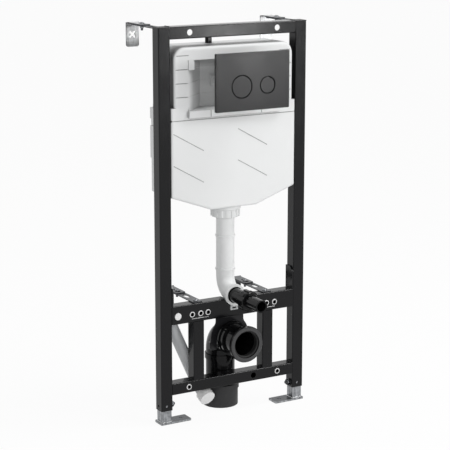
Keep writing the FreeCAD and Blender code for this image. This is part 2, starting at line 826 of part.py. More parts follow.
def make_brackets():
    bolts = []
    for label, side in (("left", -1), ("right", 1)):
        upper_top = d.frame_height - d.bracket_thick - d.bracket_gap
        middle_top = middle_rail_top + d.bracket_thick
        for prefix, x, arm_top, arm_start, has_tab in (
                (f"upper_{label}", side * half_span, upper_top, post_depth, True),
                (f"middle_{label}", side * d.upright_reach, middle_top, d.arm_front, False)):
            make_arm(prefix, x, arm_top, arm_start, has_tab)
            make_wall_plate(prefix, x, arm_top + d.bracket_gap)
            bolts.append(make_bracket_bolt(prefix, x, arm_top))
        bolts.append(rod(f"middle_{label}_screw", "Z", side * d.upright_reach,
                         d.arm_front + d.arm_screw_inset, middle_top, d.bolt_head_radius,
                         d.bolt_head_height))
    node("bracket_bolts", fuse("bracket_bolts", *bolts))


# Cistern: a wide moulded tank, and the hood over it with the service recess sunk into its front
def tank_form(name, inset):
    """The tank's rounded outside, or its inside when moved inwards by the wall."""
    half = tank_half_width - inset
    outline = [(-half, tank_shoulder + inset), (-d.tank_sump_half, tank_bottom + inset),
               (d.tank_sump_half, tank_bottom + inset), (half, tank_shoulder + inset),
               (half, tank_seam), (-half, tank_seam)]
    front = d.tank_front + inset
    form = slab(name + "_form", "front", outline, 0, front, 0, d.tank_depth - 2 * inset)
    corners = rounded(name + "_corners", form, d.tank_corner - inset,
                      lambda edge: runs_along(edge, "Y") and not lies_at(edge, "z", tank_seam))
    return rounded(name + "_edges", corners, d.tank_edge - inset,
                   lambda edge: lies_at(edge, "y", front) and not lies_at(edge, "z", tank_seam))


def seam_notches(name):
    """The joint line between hood and tank: a groove in front and a V section on each side."""
    grooves = [block(f"{name}_seam", 0, d.tank_front, tank_seam - d.groove_width / 2,
                     2 * tank_half_width, d.groove_depth, d.groove_width)]
    for label, side in (("left", -1), ("right", 1)):
        edge = side * tank_half_width
        outline = [(edge, tank_seam - d.seam_notch), (edge, tank_seam + d.seam_notch),
                   (edge - side * d.seam_notch, tank_seam)]
        grooves.append(slab(f"{name}_{label}_notch", "front", outline, 0, d.tank_front, 0,
                            d.tank_depth))
    return grooves


def ears(name, bottom, height):
    """Lugs that reach out behind the posts and keep the cistern from tipping forward."""
    width = d.tank_edge + d.tank_side_gap + d.post_side - d.ear_inset
    return [block(f"{name}_{label}_ear", side * (d.frame_width / 2 - d.ear_inset - width / 2),
                  post_depth, bottom, width, d.ear_depth, height)
            for label, side in (("left", -1), ("right", 1))]


def tank_lines():
    """Shallow slanting lines moulded into the tank's front."""
    lines = []
    for number, (start, drop) in enumerate(((-d.line_left_start, d.line_upper_drop),
                                            (-d.line_left_start, d.line_lower_drop),
                                            (d.line_right_start, d.line_upper_drop),
                                            (d.line_right_start, d.line_lower_drop))):
        top = tank_seam - drop
        end = start + d.line_run
        low = top - d.line_fall
        outline = [(start, top), (start, top - d.line_width), (end, low - d.line_width), (end, low)]
        lines.append(slab(f"tank_line_{number}", "front", outline, 0, d.tank_front, 0,
                          d.line_depth))
    return lines


def make_tank():
    low_ears = ears("tank", tank_seam - d.ear_low_drop - d.ear_low_height, d.ear_low_height)
    outside = fuse("tank_outside", tank_form("tank", as_size(0)), *low_ears)
    inside = tank_form("tank_inside", d.tank_wall)
    outlet = rod("tank_outlet", "Z", 0, d.flush_axis_depth, tank_bottom,
                 d.flush_radius - d.flush_wall, d.tank_wall)
    node("cistern_tank", cut("cistern_tank", outside, inside, outlet, *seam_notches("tank"),
                             *tank_lines()))


def at_mouth(edge):
    """Whether an edge is one of the two upright ones of the recess's mouth."""
    beside = lies_at(edge, "x", recess_half_width) or lies_at(edge, "x", -recess_half_width)
    return beside and runs_along(edge, "Z") and lies_at(edge, "y", d.tank_front)


def recess_block(name, inset, bottom, height):
    """The recess with its slanting sides, or what its walls take up when it grows by an inset."""
    front_half = recess_half_width + 1.4 * inset
    back_half = front_half - d.recess_taper
    back = recess_back + inset
    outline = [(-front_half, d.tank_front), (front_half, d.tank_front), (back_half, back),
               (-back_half, back)]
    return slab(name, "top", outline, 0, 0, bottom, height)


def hood_forms(name, inset):
    """The hood's band and its narrower body, or their inside when moved inwards by the wall."""
    front = d.tank_front + inset
    depth = d.hood_depth - 2 * inset
    band = block(name + "_band", 0, front, tank_seam, 2 * (tank_half_width - inset), depth,
                 d.band_height - inset)
    band_round = rounded(name + "_band_round", band, d.tank_edge - inset,
                         lambda edge: runs_along(edge, "Z") and lies_at(edge, "y", front))
    body = block(name + "_body", 0, front, tank_seam, 2 * (hood_half_width - inset), depth,
                 d.hood_height + d.band_height - inset)
    crown = rounded(name + "_crown", body, d.hood_round - inset,
                    lambda edge: runs_along(edge, "Y") and not lies_at(edge, "z", tank_seam))
    front_round = rounded(name + "_front_round", crown, d.hood_edge - inset,
                          lambda edge: lies_at(edge, "y", front)
                          and not lies_at(edge, "z", tank_seam))
    return fuse(name + "_forms", band_round, front_round)


def hood_grooves():
    """Level grooves in the front beside the recess, most of them on along its side walls."""
    grooves = []
    for number in range(4):
        height = recess_top + d.groove_rise - number * d.rib_pitch
        for label, side in (("left", -1), ("right", 1)):
            grooves.append(block(f"hood_{label}_groove_{number}",
                                 side * (recess_half_width + d.recess_side / 2), d.tank_front,
                                 height, d.recess_side, d.groove_depth, d.groove_width))
        if number > 0:
            grooves.append(recess_block(f"hood_inner_groove_{number}", d.groove_depth / 2, height,
                                        d.groove_width))
    return grooves


def make_recess_lug(label, side):
    """A boss in an upper corner of the recess's mouth, rounded towards the recess."""
    boss = block(f"hood_{label}_lug_blank", side * (recess_half_width - d.recess_lug_width / 2),
                 d.tank_front, recess_top - d.recess_lug_height, d.recess_lug_width,
                 d.recess_lug_depth, d.recess_lug_height)
    inner_side = side * (recess_half_width - d.recess_lug_width)
    return rounded(f"hood_{label}_lug", boss, d.recess_lug_round,
                   lambda edge: runs_along(edge, "Z") and lies_at(edge, "y", d.tank_front)
                   and lies_at(edge, "x", inner_side))


def make_hood():
    sill_front = d.tank_front - d.sill_depth
    sill_bottom = recess_bottom - d.sill_height
    sill_bar = block("hood_sill_bar", 0, sill_front, sill_bottom,
                     2 * (recess_half_width + d.sill_overlap), d.sill_depth, d.sill_height)
    ticks = [block(f"hood_sill_tick_{number}", side * d.sill_tick_reach, sill_front, sill_bottom,
                   d.groove_width, d.groove_depth, d.sill_height)
             for number, side in enumerate((-1, 1))]
    sill = cut("hood_sill", sill_bar, *ticks)
    high_ears = ears("hood", tank_seam + d.ear_gap, d.ear_high_height)
    outside = fuse("hood_outside", hood_forms("hood", as_size(0)), *high_ears)
    recess_height = recess_top - recess_bottom
    wall = d.tank_wall
    recess = recess_block("hood_recess", as_size(0), recess_bottom, recess_height)
    opened = cut("hood_opened", outside, recess)
    shell = rounded("hood_shell", opened, d.recess_round, at_mouth)
    walls = recess_block("hood_recess_walls", wall, recess_bottom - wall, recess_height + 2 * wall)
    inside = cut("hood_inside", hood_forms("hood_inside", wall), walls)
    lugs = [make_recess_lug(label, side) for label, side in (("left", -1), ("right", 1))]
    hollow = cut("hood_hollow", shell, inside, *seam_notches("hood"), *hood_grooves())
    node("cistern_hood", fuse("cistern_hood", hollow, sill, *lugs))


def make_inlet():
    nut = hexagon("inlet_nut", "Z", d.inlet_reach, d.inlet_depth, hood_top, d.inlet_nut_radius,
                  d.inlet_nut_height)
    stem = rod("inlet_stem", "Z", d.inlet_reach, d.inlet_depth, hood_top, d.inlet_radius,
               d.inlet_height)
    node("inlet_valve", fuse("inlet_valve", nut, stem))


# Flush plate, its mount and the two buttons with their push rods
BUTTONS = {
    "full": (d.full_button_reach, d.full_button_radius),
    "half": (d.half_button_reach, d.half_button_radius),
}


def make_flush_plate():
    blank = block("flush_plate_blank", 0, d.plate_front, plate_bottom, d.plate_width,
                  d.plate_thick, d.plate_height)
    corners = rounded("flush_plate_corners", blank, d.plate_round,
                      lambda edge: runs_along(edge, "Y"))
    holes = [rod(f"{name}_button_hole", "Y", x, d.plate_front, button_height,
                 radius + d.button_gap, d.plate_thick) for name, (x, radius) in BUTTONS.items()]
    pierced = cut("flush_plate_pierced", corners, *holes)
    node("flush_plate", rounded("flush_plate", pierced, d.plate_edge,
                                lambda edge: lies_at(edge, "y", d.plate_front)))


def make_plate_mount():
    board = block("mount_board", 0, mount_front, plate_middle - d.mount_height / 2, d.mount_width,
                  d.mount_thick, d.mount_height)
    pegs = []
    inset = 2 * d.mount_peg_radius
    for number, (across, up) in enumerate(((-1, -1), (1, -1), (-1, 1), (1, 1))):
        pegs.append(rod(f"mount_peg_{number}", "Y", across * (d.mount_width / 2 - inset),
                        plate_back, plate_middle + up * (d.mount_height / 2 - inset),
                        d.mount_peg_radius, d.mount_gap))
    guides = [rod(f"{name}_rod_guide", "Y", x, mount_front, button_height,
                  d.push_rod_radius + d.push_rod_gap, d.mount_thick)
              for name, (x, radius) in BUTTONS.items()]
    node("plate_mount", cut("plate_mount", fuse("mount_body", board, *pegs), *guides))


def make_plate_studs():
    length = recess_back - mount_back
    studs = [rod(f"plate_stud_{number}", "Y", side * d.plate_stud_reach, mount_back,
                 button_height + d.plate_stud_rise, d.plate_stud_radius, length)
             for number, side in enumerate((-1, 1))]
    node("plate_studs", fuse("plate_studs", *studs))


def make_valve_lifter():
    left = d.full_button_reach - d.lifter_margin
    right = d.half_button_reach + d.lifter_margin
    base = block("lifter_base", (left + right) / 2, lifter_base_front,
                 button_height - d.lifter_height / 2, right - left, d.lifter_depth, d.lifter_height)
    pads = [rod(f"{name}_lifter_pad", "Y", x, lifter_front, button_height, d.lifter_pad_radius,
                d.lifter_pad_depth) for name, (x, radius) in BUTTONS.items()]
    node("valve_lifter", fuse("valve_lifter", base, *pads))


def make_button(name):
    x, radius = BUTTONS[name]
    front = d.plate_front
    cap_back = front + d.button_thick
    rod_end = lifter_front - d.button_travel - d.push_rod_gap
    profile = [(0, front), (radius - d.button_edge, front), (radius, front + d.button_edge),
               (radius, cap_back), (d.push_rod_radius, cap_back), (d.push_rod_radius, rod_end),
               (0, rod_end)]
    node(f"{name}_flush_button", turned(f"{name}_flush_button", "Y", x, 0, button_height, profile))


# Flush pipe, its nut under the tank, its clip and the connector to the bowl
def make_flush_collar():
    bore = d.flush_radius + d.slip_gap
    bottom = tank_bottom - d.collar_height
    brim = tank_bottom - d.collar_brim
    edge = d.collar_edge
    profile = [(bore, bottom), (d.collar_foot_radius - edge, bottom),
               (d.collar_foot_radius, bottom + edge), (d.collar_foot_radius, brim),
               (d.collar_radius - edge, brim), (d.collar_radius, brim + edge),
               (d.collar_radius, tank_bottom), (bore, tank_bottom)]
    nut = turned("flush_collar", "Z", 0, d.flush_axis_depth, 0, profile)
    ribs = ribbed(nut, bore + edge, d.collar_radius - d.collar_rib_inset, d.collar_rib_width,
                  bottom + edge, brim - bottom, COLLAR_RIBS)
    node("flush_collar", ribs)


def make_flush_pipe():
    y = d.flush_axis_depth
    front = -d.flush_lip_length
    inner = d.flush_radius - d.flush_wall
    outside = elbow("flush_outside", d.flush_radius, y, tank_bottom, flush_outlet_height,
                    d.flush_bend, front)
    inside = elbow("flush_inside", inner, y, tank_bottom, flush_outlet_height, d.flush_bend, front)
    bead_heights = (flush_outlet_height + d.flush_bead_rise, tank_bottom - d.flush_bead_drop)
    beads = [rod(f"flush_bead_{number}", "Z", 0, y, height, d.flush_bead_radius,
                 d.flush_bead_length) for number, height in enumerate(bead_heights)]
    lip = rod("flush_lip", "Y", 0, front, flush_outlet_height, d.flush_lip_radius,
              d.flush_lip_length)
    node("flush_pipe", cut("flush_pipe", fuse("flush_skin", outside, lip, *beads), inside))


def make_flush_connector():
    bore = d.connector_bore
    front = -d.flush_lip_length
    start = front + d.connector_insert
    seat = d.flush_radius - d.flush_wall - d.slip_gap
    collar_start = front - d.connector_reach
    collar_end = collar_start - d.connector_collar_length
    edge = d.connector_edge
    nose = d.connector_nose_radius
    nose_end = collar_end - d.connector_nose_length
    profile = [(bore, start), (seat, start), (seat, front), (d.connector_radius, front),
               (d.connector_radius, collar_start),
               (d.connector_collar_radius - edge, collar_start),
               (d.connector_collar_radius, collar_start - edge),
               (d.connector_collar_radius, collar_end + edge),
               (d.connector_collar_radius - edge, collar_end), (nose, collar_end),
               (nose, nose_end), (bore, nose_end)]
    body = turned("flush_connector", "Y", 0, 0, flush_outlet_height, profile)
    ribs = ribbed(body, d.connector_radius, d.connector_collar_radius + d.connector_rib_rise,
                  d.connector_rib_width, collar_end + edge, d.connector_collar_length - 2 * edge,
                  CONNECTOR_RIBS)
    node("flush_connector", ribs)


def make_flush_clip():
    inner = d.flush_lip_radius + d.slip_gap
    outer = inner + d.clip_thick
    z = flush_outlet_height
    strap = rod("clip_strap", "Y", 0, -d.clip_length, z, outer, d.clip_length)
    inside = rod("clip_inside", "Y", 0, -d.clip_length, z, inner, d.clip_length)
    hook = block("clip_hook", 0, -d.clip_length, z - outer, d.clip_tab_width, d.clip_length, outer)
    tab = block("clip_tab", 0, -d.clip_thick, z - inner - d.clip_tab_height, d.clip_tab_width,
                d.clip_thick, d.clip_tab_height)
    bent = doc.addObject("Part::MultiCommon", "clip_bent")
    bent.Shapes = [strap, hook]
    key_slot = block("clip_slot", 0, -d.clip_thick, z - inner - d.clip_tab_height + d.clip_slot_rise,
                     d.clip_slot_width, d.clip_thick, d.clip_slot_height)
    node("flush_clip", cut("flush_clip", fuse("clip_blank", bent, tab), inside, key_slot))


# Waste bend with its sockets, the connector to the bowl and the holder that hangs from the rail
def turn_down(name, radius):
    """A round bar that runs back from the socket, bends and drops to the outlet."""
    y = waste_axis_depth
    z = d.waste_inlet_height
    bend = d.waste_bend
    upright = rod(name + "_upright", "Z", 0, y, d.outlet_socket_top, radius,
                  z - bend - d.outlet_socket_top)
    level = rod(name + "_level", "Y", 0, socket_back, z, radius, y - bend - socket_back)
    turn = doc.addObject("Part::Torus", name + "_turn")
    bind(turn, "Radius1", bend)
    bind(turn, "Radius2", radius)
    turn.Angle3 = 90
    place(turn, 0, y - bend, z - bend, FreeCAD.Rotation(FreeCAD.Vector(1, 1, 1), 120))
    return [upright, turn, level]


def make_waste_bend():
    y = waste_axis_depth
    z = d.waste_inlet_height
    front = d.waste_socket_front
    socket = rod("waste_socket", "Y", 0, front, z, socket_radius,
                 d.waste_socket_length + d.waste_wall)
    rim = rod("waste_rim", "Y", 0, front, z, d.waste_rim_radius, d.waste_rim_length)
    collar = rod("waste_collar", "Y", 0, front + d.waste_collar_setback, z, d.waste_collar_radius,
                 d.waste_collar_length)
    outlet = rod("waste_outlet", "Z", 0, y, d.outlet_socket_bottom, d.outlet_socket_radius,
                 d.outlet_socket_top - d.outlet_socket_bottom)
    outlet_collar = rod("waste_outlet_collar", "Z", 0, y,
                        d.outlet_socket_top - d.outlet_collar_length, d.outlet_collar_radius,
                        d.outlet_collar_length)
    band_top = z - d.waste_bend - d.waste_band_drop
    band = rod("waste_band", "Z", 0, y, band_top - d.waste_band_length, d.waste_band_radius,
               d.waste_band_length)
    web_front = front + d.waste_collar_setback
    web_back = y - waste_bore
    web_top = z - socket_bore
    web_outline = [(web_front, web_top), (web_back, web_top - d.waste_web_height),
                   (web_back, web_top)]
    web = slab("waste_web", "side", web_outline, -d.waste_web / 2, 0, 0, d.waste_web)
    skin = fuse("waste_skin", socket, rim, collar, outlet, outlet_collar, band, web,
                *turn_down("waste_outside", d.waste_radius))
    socket_hole = rod("waste_socket_hole", "Y", 0, front, z, socket_bore, d.waste_socket_length)
    outlet_hole = rod("waste_outlet_hole", "Z", 0, y, d.outlet_socket_bottom,
                      d.outlet_socket_radius - d.waste_wall,
                      d.outlet_socket_top - d.outlet_socket_bottom - d.waste_wall)
    neck_hole = rod("waste_neck_hole", "Z", 0, y, d.outlet_socket_top - d.waste_wall, waste_bore,
                    d.waste_wall)
    node("waste_bend", cut("waste_bend", skin, socket_hole, outlet_hole, neck_hole,
                           *turn_down("waste_inside", waste_bore)))


def make_waste_connector():
    front = waste_flange_front
    back = front + d.waste_flange_length
    end = socket_back - d.waste_pipe_clear
    edge = d.waste_flange_edge
    flange = d.waste_flange_radius
    profile = [(waste_bore, front), (flange - edge, front), (flange, front + edge),
               (flange, back - edge), (flange - edge, back), (d.waste_radius, back),
               (d.waste_radius, end), (waste_bore, end)]
    node("waste_connector", turned("waste_connector", "Y", 0, 0, d.waste_inlet_height, profile))
    seal_front = front + d.waste_seal_thick
    seal_back = seal_front + d.waste_seal_length
    seal_radius = waste_bore - d.waste_seal_thick
    seal_edge = d.waste_seal_edge
    lip = [(seal_radius, seal_front + seal_edge), (seal_radius + seal_edge, seal_front),
           (waste_bore, seal_front), (waste_bore, seal_back), (seal_radius, seal_back)]
    node("waste_seal", turned("waste_seal", "Y", 0, 0, d.waste_inlet_height, lip))


def make_waste_holder():
    y = d.holder_front
    z = d.waste_inlet_height
    thick = d.holder_thick
    half = d.holder_radius
    neck = block("holder_neck", 0, y, z, 2 * d.holder_neck_half, thick, middle_rail_bottom - z)
    ring = rod("holder_ring", "Y", 0, y, z, half, thick)
    legs = block("holder_legs", 0, y, z - d.holder_drop, 2 * half, thick, d.holder_drop)
    bore = rod("holder_bore", "Y", 0, y, z, d.waste_radius + d.slip_gap, thick)
    below = block("holder_below", 0, y, z - half, 2 * (d.waste_radius + d.slip_gap), thick, half)
    ring_foot = block("holder_ring_foot", 0, y, z - half, 2 * half, thick, half - d.holder_drop)
    plate = cut("holder_plate", fuse("holder_blank", neck, ring, legs), bore, below, ring_foot)
    blended = rounded("holder_blended", plate, d.holder_blend,
                      lambda edge: runs_along(edge, "Y") and abs(edge.CenterOfMass.z - z.value)
                      < half.value and edge.CenterOfMass.z > z.value + 1)
    lug_front = y - (d.holder_lug_depth - thick) / 2
    lugs = [block(f"holder_{label}_lug", side * (half + d.holder_lug_width / 2), lug_front,
                  z - d.holder_lug_drop - d.holder_lug_height, d.holder_lug_width,
                  d.holder_lug_depth, d.holder_lug_height)
            for label, side in (("left", -1), ("right", 1))]
    node("waste_holder", fuse("waste_holder", blended, *lugs))


# Service conduit: a rigid plastic pipe on straight runs and arcs, with clips and an end cap
def conduit_route():
    """Corners of the pipe's centre line and the radius of the bend at each inner one."""
    def corner(x, y, z):
        return FreeCAD.Vector(half_span.value + x.value, y.value - d.post_side.value / 2, z.value)

    knee = middle_rail_bottom + d.conduit_knee_rise
    corners = [corner(-conduit_reach, d.conduit_depth, conduit_top),
               corner(-conduit_reach, d.conduit_depth, knee),
               corner(-d.conduit_heel_reach, d.conduit_depth, conduit_heel_height),
               corner(-d.conduit_end_reach, d.conduit_end_depth,
                      conduit_heel_height - d.conduit_end_drop)]
    return corners, [d.conduit_knee_bend.value, d.conduit_heel_bend.value]


def conduit_wire():
    corners, bends = conduit_route()
    edges = []
    start = corners[0]
    for before, corner, after, bend in zip(corners, corners[1:], corners[2:], bends):
        incoming = (corner - before).normalize()
        outgoing = (after - corner).normalize()
        turn = incoming.getAngle(outgoing)
        setback = bend * math.tan(turn / 2)
        arc_start = corner - incoming * setback
        arc_end = corner + outgoing * setback
        inward = (outgoing - incoming).normalize()
        centre = corner + inward * (bend / math.cos(turn / 2))
        arc_middle = centre - inward * bend
        edges.append(Part.LineSegment(start, arc_start).toShape())
        edges.append(Part.Arc(arc_start, arc_middle, arc_end).toShape())
        start = arc_end
    edges.append(Part.LineSegment(start, corners[-1]).toShape())
    return Part.Wire(edges)


def make_conduit():
    route = conduit_wire()
    start, follower = conduit_route()[0][:2]
    shells = []
    for radius in (d.conduit_radius.value, d.conduit_radius.value - d.conduit_wall.value):
        ring = Part.Wire(Part.makeCircle(radius, start, follower - start))
        shells.append(route.makePipeShell([ring], True, False))
    pipe = doc.addObject("Part::Feature", "service_conduit")
    pipe.Shape = shells[0].cut(shells[1])
    node("service_conduit", pipe)

    end = conduit_route()[0][-1]
    outward = (end - conduit_route()[0][-2]).normalize()
    rim = d.conduit_radius.value + d.conduit_cap_rim.value
    sleeve = d.conduit_cap_sleeve.value
    sleeve_start = end - outward * sleeve
    outside = Part.makeCylinder(rim, sleeve + d.conduit_cap_thick.value, sleeve_start, outward)
    inside = Part.makeCylinder(d.conduit_radius.value, sleeve, sleeve_start, outward)
    cap = doc.addObject("Part::Feature", "conduit_cap")
    cap.Shape = outside.cut(inside)
    node("conduit_cap", cap)


def make_conduit_clips():
    clips = []
    gap = d.conduit_depth - post_depth
    heights = (middle_rail_top + d.conduit_clip_rise, conduit_top - d.conduit_clip_drop)
    for number, height in enumerate(heights):
        shoe = block(f"conduit_shoe_{number}", -conduit_reach - d.conduit_radius / 2, post_depth,
                     height, d.conduit_radius, gap, d.conduit_clip_height)
        seat = rod(f"conduit_seat_{number}", "Z", -conduit_reach, d.conduit_depth, height,
                   d.conduit_radius + d.slip_gap, d.conduit_clip_height)
        clips.append(cut(f"conduit_clip_{number}", shoe, seat))
    node("conduit_clips", fuse("conduit_clips", *clips))


make_foot("left", -1)
make_foot("right", 1)
make_post("left_post", -1)
make_post("right_post", 1)
make_post_caps()
make_top_rail()
make_middle_rail()
make_low_rail()
make_upright("left_upright", -1)
make_upright("right_upright", 1)
make_gussets()
make_bushings("stud_bushings", stud_places(), stud_height)
make_bushings("low_bushings", low_bushing_places(), low_bushing_height)
make_rail_plug()
make_clamp_screws()
make_brackets()
make_tank()
make_hood()
make_inlet()
make_flush_plate()
make_plate_mount()
make_plate_studs()
make_valve_lifter()
make_button("full")
make_button("half")
make_flush_collar()
make_flush_pipe()
make_flush_connector()
make_flush_clip()
make_waste_bend()
make_waste_connector()
make_waste_holder()
make_conduit()
make_conduit_clips()

doc.recompute()
for item in doc.Objects:
    if "Invalid" in item.State or "Error" in item.State:
        raise RuntimeError(f"{item.Name} failed: {item.State}")
for name, item in parts.items():
    if item.Shape.isNull() or not item.Shape.isValid():
        raise RuntimeError(f"{name} has no valid shape")

os.makedirs("parts", exist_ok=True)
for name, item in parts.items():
    item.Shape.exportStep(f"parts/{name}.step")
    print(name, len(item.Shape.Solids), round(item.Shape.Volume / 1000, 2), "cm3")
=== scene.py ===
import math

import bmesh
import bpy
from mathutils import Matrix, Vector
from mathutils.bvhtree import BVHTree


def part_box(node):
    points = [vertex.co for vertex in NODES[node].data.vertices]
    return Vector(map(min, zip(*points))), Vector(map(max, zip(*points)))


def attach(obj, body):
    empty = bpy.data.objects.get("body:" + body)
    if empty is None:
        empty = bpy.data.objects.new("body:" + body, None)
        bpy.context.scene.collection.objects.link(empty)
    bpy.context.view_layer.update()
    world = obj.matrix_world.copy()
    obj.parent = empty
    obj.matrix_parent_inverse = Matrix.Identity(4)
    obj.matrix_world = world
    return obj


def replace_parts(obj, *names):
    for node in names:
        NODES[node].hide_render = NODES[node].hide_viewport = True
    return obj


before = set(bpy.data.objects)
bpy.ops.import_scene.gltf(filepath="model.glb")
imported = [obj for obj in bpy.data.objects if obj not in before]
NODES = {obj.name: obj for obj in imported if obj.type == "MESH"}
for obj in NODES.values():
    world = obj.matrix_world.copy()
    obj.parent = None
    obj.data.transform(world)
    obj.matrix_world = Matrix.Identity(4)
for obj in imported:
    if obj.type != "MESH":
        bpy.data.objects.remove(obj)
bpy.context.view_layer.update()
MM = 0.001

bl_info = {
    "name": "Wall hung toilet frame",
    "version": (1, 0, 0),
    "blender": (4, 5, 0),
    "location": "3D View > Sidebar > Toilet frame",
    "description": "Finishes and small hardware for a toilet frame with a concealed cistern",
    "category": "Object",
}


def linear(code):
    """An sRGB hex colour such as #2b2c2e as linear red, green, blue and alpha."""
    shares = [int(code[at:at + 2], 16) / 255 for at in (1, 3, 5)]
    return tuple(s / 12.92 if s <= 0.04045 else ((s + 0.055) / 1.055) ** 2.4
                 for s in shares) + (1.0,)


def add_node(tree, kind, values=None, links=None, **settings):
    """Add one shader node with its settings, its socket values and what feeds it."""
    item = tree.nodes.new(kind)
    for name, value in settings.items():
        setattr(item, name, value)
    for socket, value in (values or {}).items():
        item.inputs[socket].default_value = value
    for socket, source in (links or {}).items():
        tree.links.new(source, item.inputs[socket])
    return item


# Properties that a user would change
def colour_choice(name, description, code):
    return bpy.props.FloatVectorProperty(name=name, description=description, subtype="COLOR",
                                         size=4, min=0.0, max=1.0, default=linear(code))


def length_choice(name, description, millimetres):
    return bpy.props.FloatProperty(name=name, description=description, default=millimetres * MM,
                                   min=0.0, unit="LENGTH", subtype="DISTANCE", precision=5)


class ToiletFrameColours(bpy.types.PropertyGroup):
    """Colours of the finishes."""
    coat: colour_choice("Powder coat", "Steel posts and rails", "#0f0f11")
    # Painted light: the frame's coat drawn lighter on the waste holder
    holder: colour_choice("Holder", "Steel plate that holds the waste bend", "#262628")
    cap: colour_choice("Post caps", "Plastic end caps", "#121213")
    zinc: colour_choice("Zinc", "Legs, bolts and studs", "#a4a6a9")
    # Painted shade and light: the next two are the plain zinc drawn darker and lighter
    shaded_zinc: colour_choice("Zinc in painted shade", "Foot plates, arms, lower wall plates and clamp screws",
                             "#5e6063")
    lit_zinc: colour_choice("Zinc in painted light", "Upper wall plates and the legs' welds", "#d0d1d2")
    # Bare cut steel, and painted shade along the sheet's edges and holes
    sheared: colour_choice("Sheared edges", "Cut edges of the brackets' sheet", "#4c4d50")
    thread: colour_choice("Thread inserts", "Steel inserts in the bushings", "#131314")
    nylon: colour_choice("Bushings", "Sleeves for the bowl's studs", "#e6e6e6")
    tank: colour_choice("Cistern", "Tank and hood", "#e4e5e5")
    pipe: colour_choice("Flush pipe", "White pipe and its nut", "#e6e7e7")
    # Painted shade: the clip is the bushings' nylon drawn greyer
    clip: colour_choice("Clip", "Clip that holds the flush pipe", "#b4b5b6")
    drain: colour_choice("Drain", "Waste bend, connectors and water inlet", "#111112")
    outlet: colour_choice("Outlet", "Matt socket under the waste bend", "#333334")
    rubber: colour_choice("Rubber", "Lip in the waste connector", "#101010")
    plate: colour_choice("Flush plate", "Plate and buttons", "#1c1c1d")
    # A real gasket whose grey is also a painted reflection on the flange's face
    gasket: colour_choice("Gasket", "Rubber on the face of the waste flange", "#3c3c3d")
    conduit: colour_choice("Conduit", "Service pipe and clips", "#c6c8ca")
    conduit_cap: colour_choice("Conduit cap", "Cap on the conduit's end", "#ececec")


class ToiletFrameSizes(bpy.types.PropertyGroup):
    """Sizes of the small hardware and limits of the second finishes."""
    weld_radius: length_choice("Weld bead", "Half the width of a weld bead", 2.2)
    weld_ripple: length_choice("Weld ripple", "Distance between the ripples of a bead", 2.0)
    thread_pitch: length_choice("Thread pitch", "Rise of one turn of a screw thread", 1.25)
    thread_depth: length_choice("Thread depth", "Height of a screw thread", 0.55)
    bolt_head_height: length_choice("Bolt head", "Height of a bracket bolt's head", 4.0)
    stud_near: length_choice("Near studs", "From the middle to the nearest bushing", 90.0)
    stud_far: length_choice("Far studs", "From the middle to the second bushing", 115.0)
    stud_thread: length_choice("Stud thread", "Radius of the inserts in the bushings", 6.2)
    mark_drop: length_choice("Mark drop", "From the bushings down to the mark under them", 13.5)
    washer_thick: length_choice("Washer", "Thickness of a bracket bolt's washer", 1.2)
    outlet_height: length_choice("Outlet", "Top of the matt socket under the bend", 75.5)
    recess_half: length_choice("Recess", "Half the width of the recess's mouth", 154.0)
    recess_floor: length_choice("Recess floor", "Height of the recess's floor", 945.0)
    recess_roof: length_choice("Recess roof", "Height of the recess's roof", 1092.0)
    recess_depth: length_choice("Recess depth", "From the tank's front to the recess's back", 65.0)
    foot_limit: length_choice("Foot plate", "As the sheet, for the thicker foot plates", 8.0)
    sheet_limit: length_choice("Sheet", "More metal than this behind a face is a cut edge", 4.5)


class ToiletFrameStage(bpy.types.PropertyGroup):
    """The camera and the light."""
    lens: bpy.props.FloatProperty(name="Lens", description="Focal length on a 36 mm sensor",
                                  default=123.1, min=10.0, unit="CAMERA")
    yaw: bpy.props.FloatProperty(name="Turn", description="The camera's turn to the right",
                                 default=math.radians(29.93), subtype="ANGLE")
    pitch: bpy.props.FloatProperty(name="Tilt", description="The camera's tilt downwards",
                                   default=math.radians(12.70), subtype="ANGLE")
    place: bpy.props.FloatVectorProperty(name="Place", description="Where the camera stands",
                                         default=(-2.037, -3.904, 1.603), subtype="TRANSLATION",
                                         unit="LENGTH")
    key: bpy.props.FloatProperty(name="Key", description="Power of the key lamp",
                                 default=38.0, min=0.0, unit="POWER")
    room: bpy.props.FloatProperty(name="Room", description="Strength of the light all round",
                                  default=0.46, min=0.0)


# Finishes
MIX_A, MIX_B, MIX_RESULT = 6, 7, 2     # colour sockets of a mix node
NOISE_LOW, NOISE_HIGH = 0.3, 0.7       # most of a noise lies between these
# The ambient occlusion that paints shade into corners and hollows
CREVICE_LOW, CREVICE_HIGH = 0.3, 0.8   # how open a groove's floor and a plain face are
CREVICE_RAYS = 8
WHITE = (1.0, 1.0, 1.0, 1.0)
POLYETHYLENE = {"shade": 0.96, "patch": 90.0, "grain": 5.0, "relief": 0.03, "smooth": 0.42,
                "rough": 0.52, "constants": {"IOR": 1.5}}
# Painted shade in the tank's grooves and corners
PAINTED_GROOVE_SHADE = (65.0, 0.14)            # reach in mm and tone of the shade in the tank's grooves
# Painted shade in the recess, from its mouth to its back
RECESS_START, RECESS_END = 4.0, 27.0   # mm behind the tank's front where the shade runs
RECESS_PAINTED_SHADE = 0.62
ZINC_STREAK = (4.0, 4.0, 45.0)         # mm across and along a rolling streak
ZINC_CLOUD = 14.0                      # mm across a blotch of the passivation
ZINC_LOW, ZINC_HIGH = 0.14, 0.36       # most of streaks times blotches lies between these
ZINC_RELIEF = 0.03                     # mm
PATCH_DETAIL, GRAIN_DETAIL, STREAK_DETAIL, CLOUD_DETAIL = 4.0, 2.0, 3.0, 5.0
SKIN_GAP = 0.05 * MM                   # step behind a face before the metal there is measured


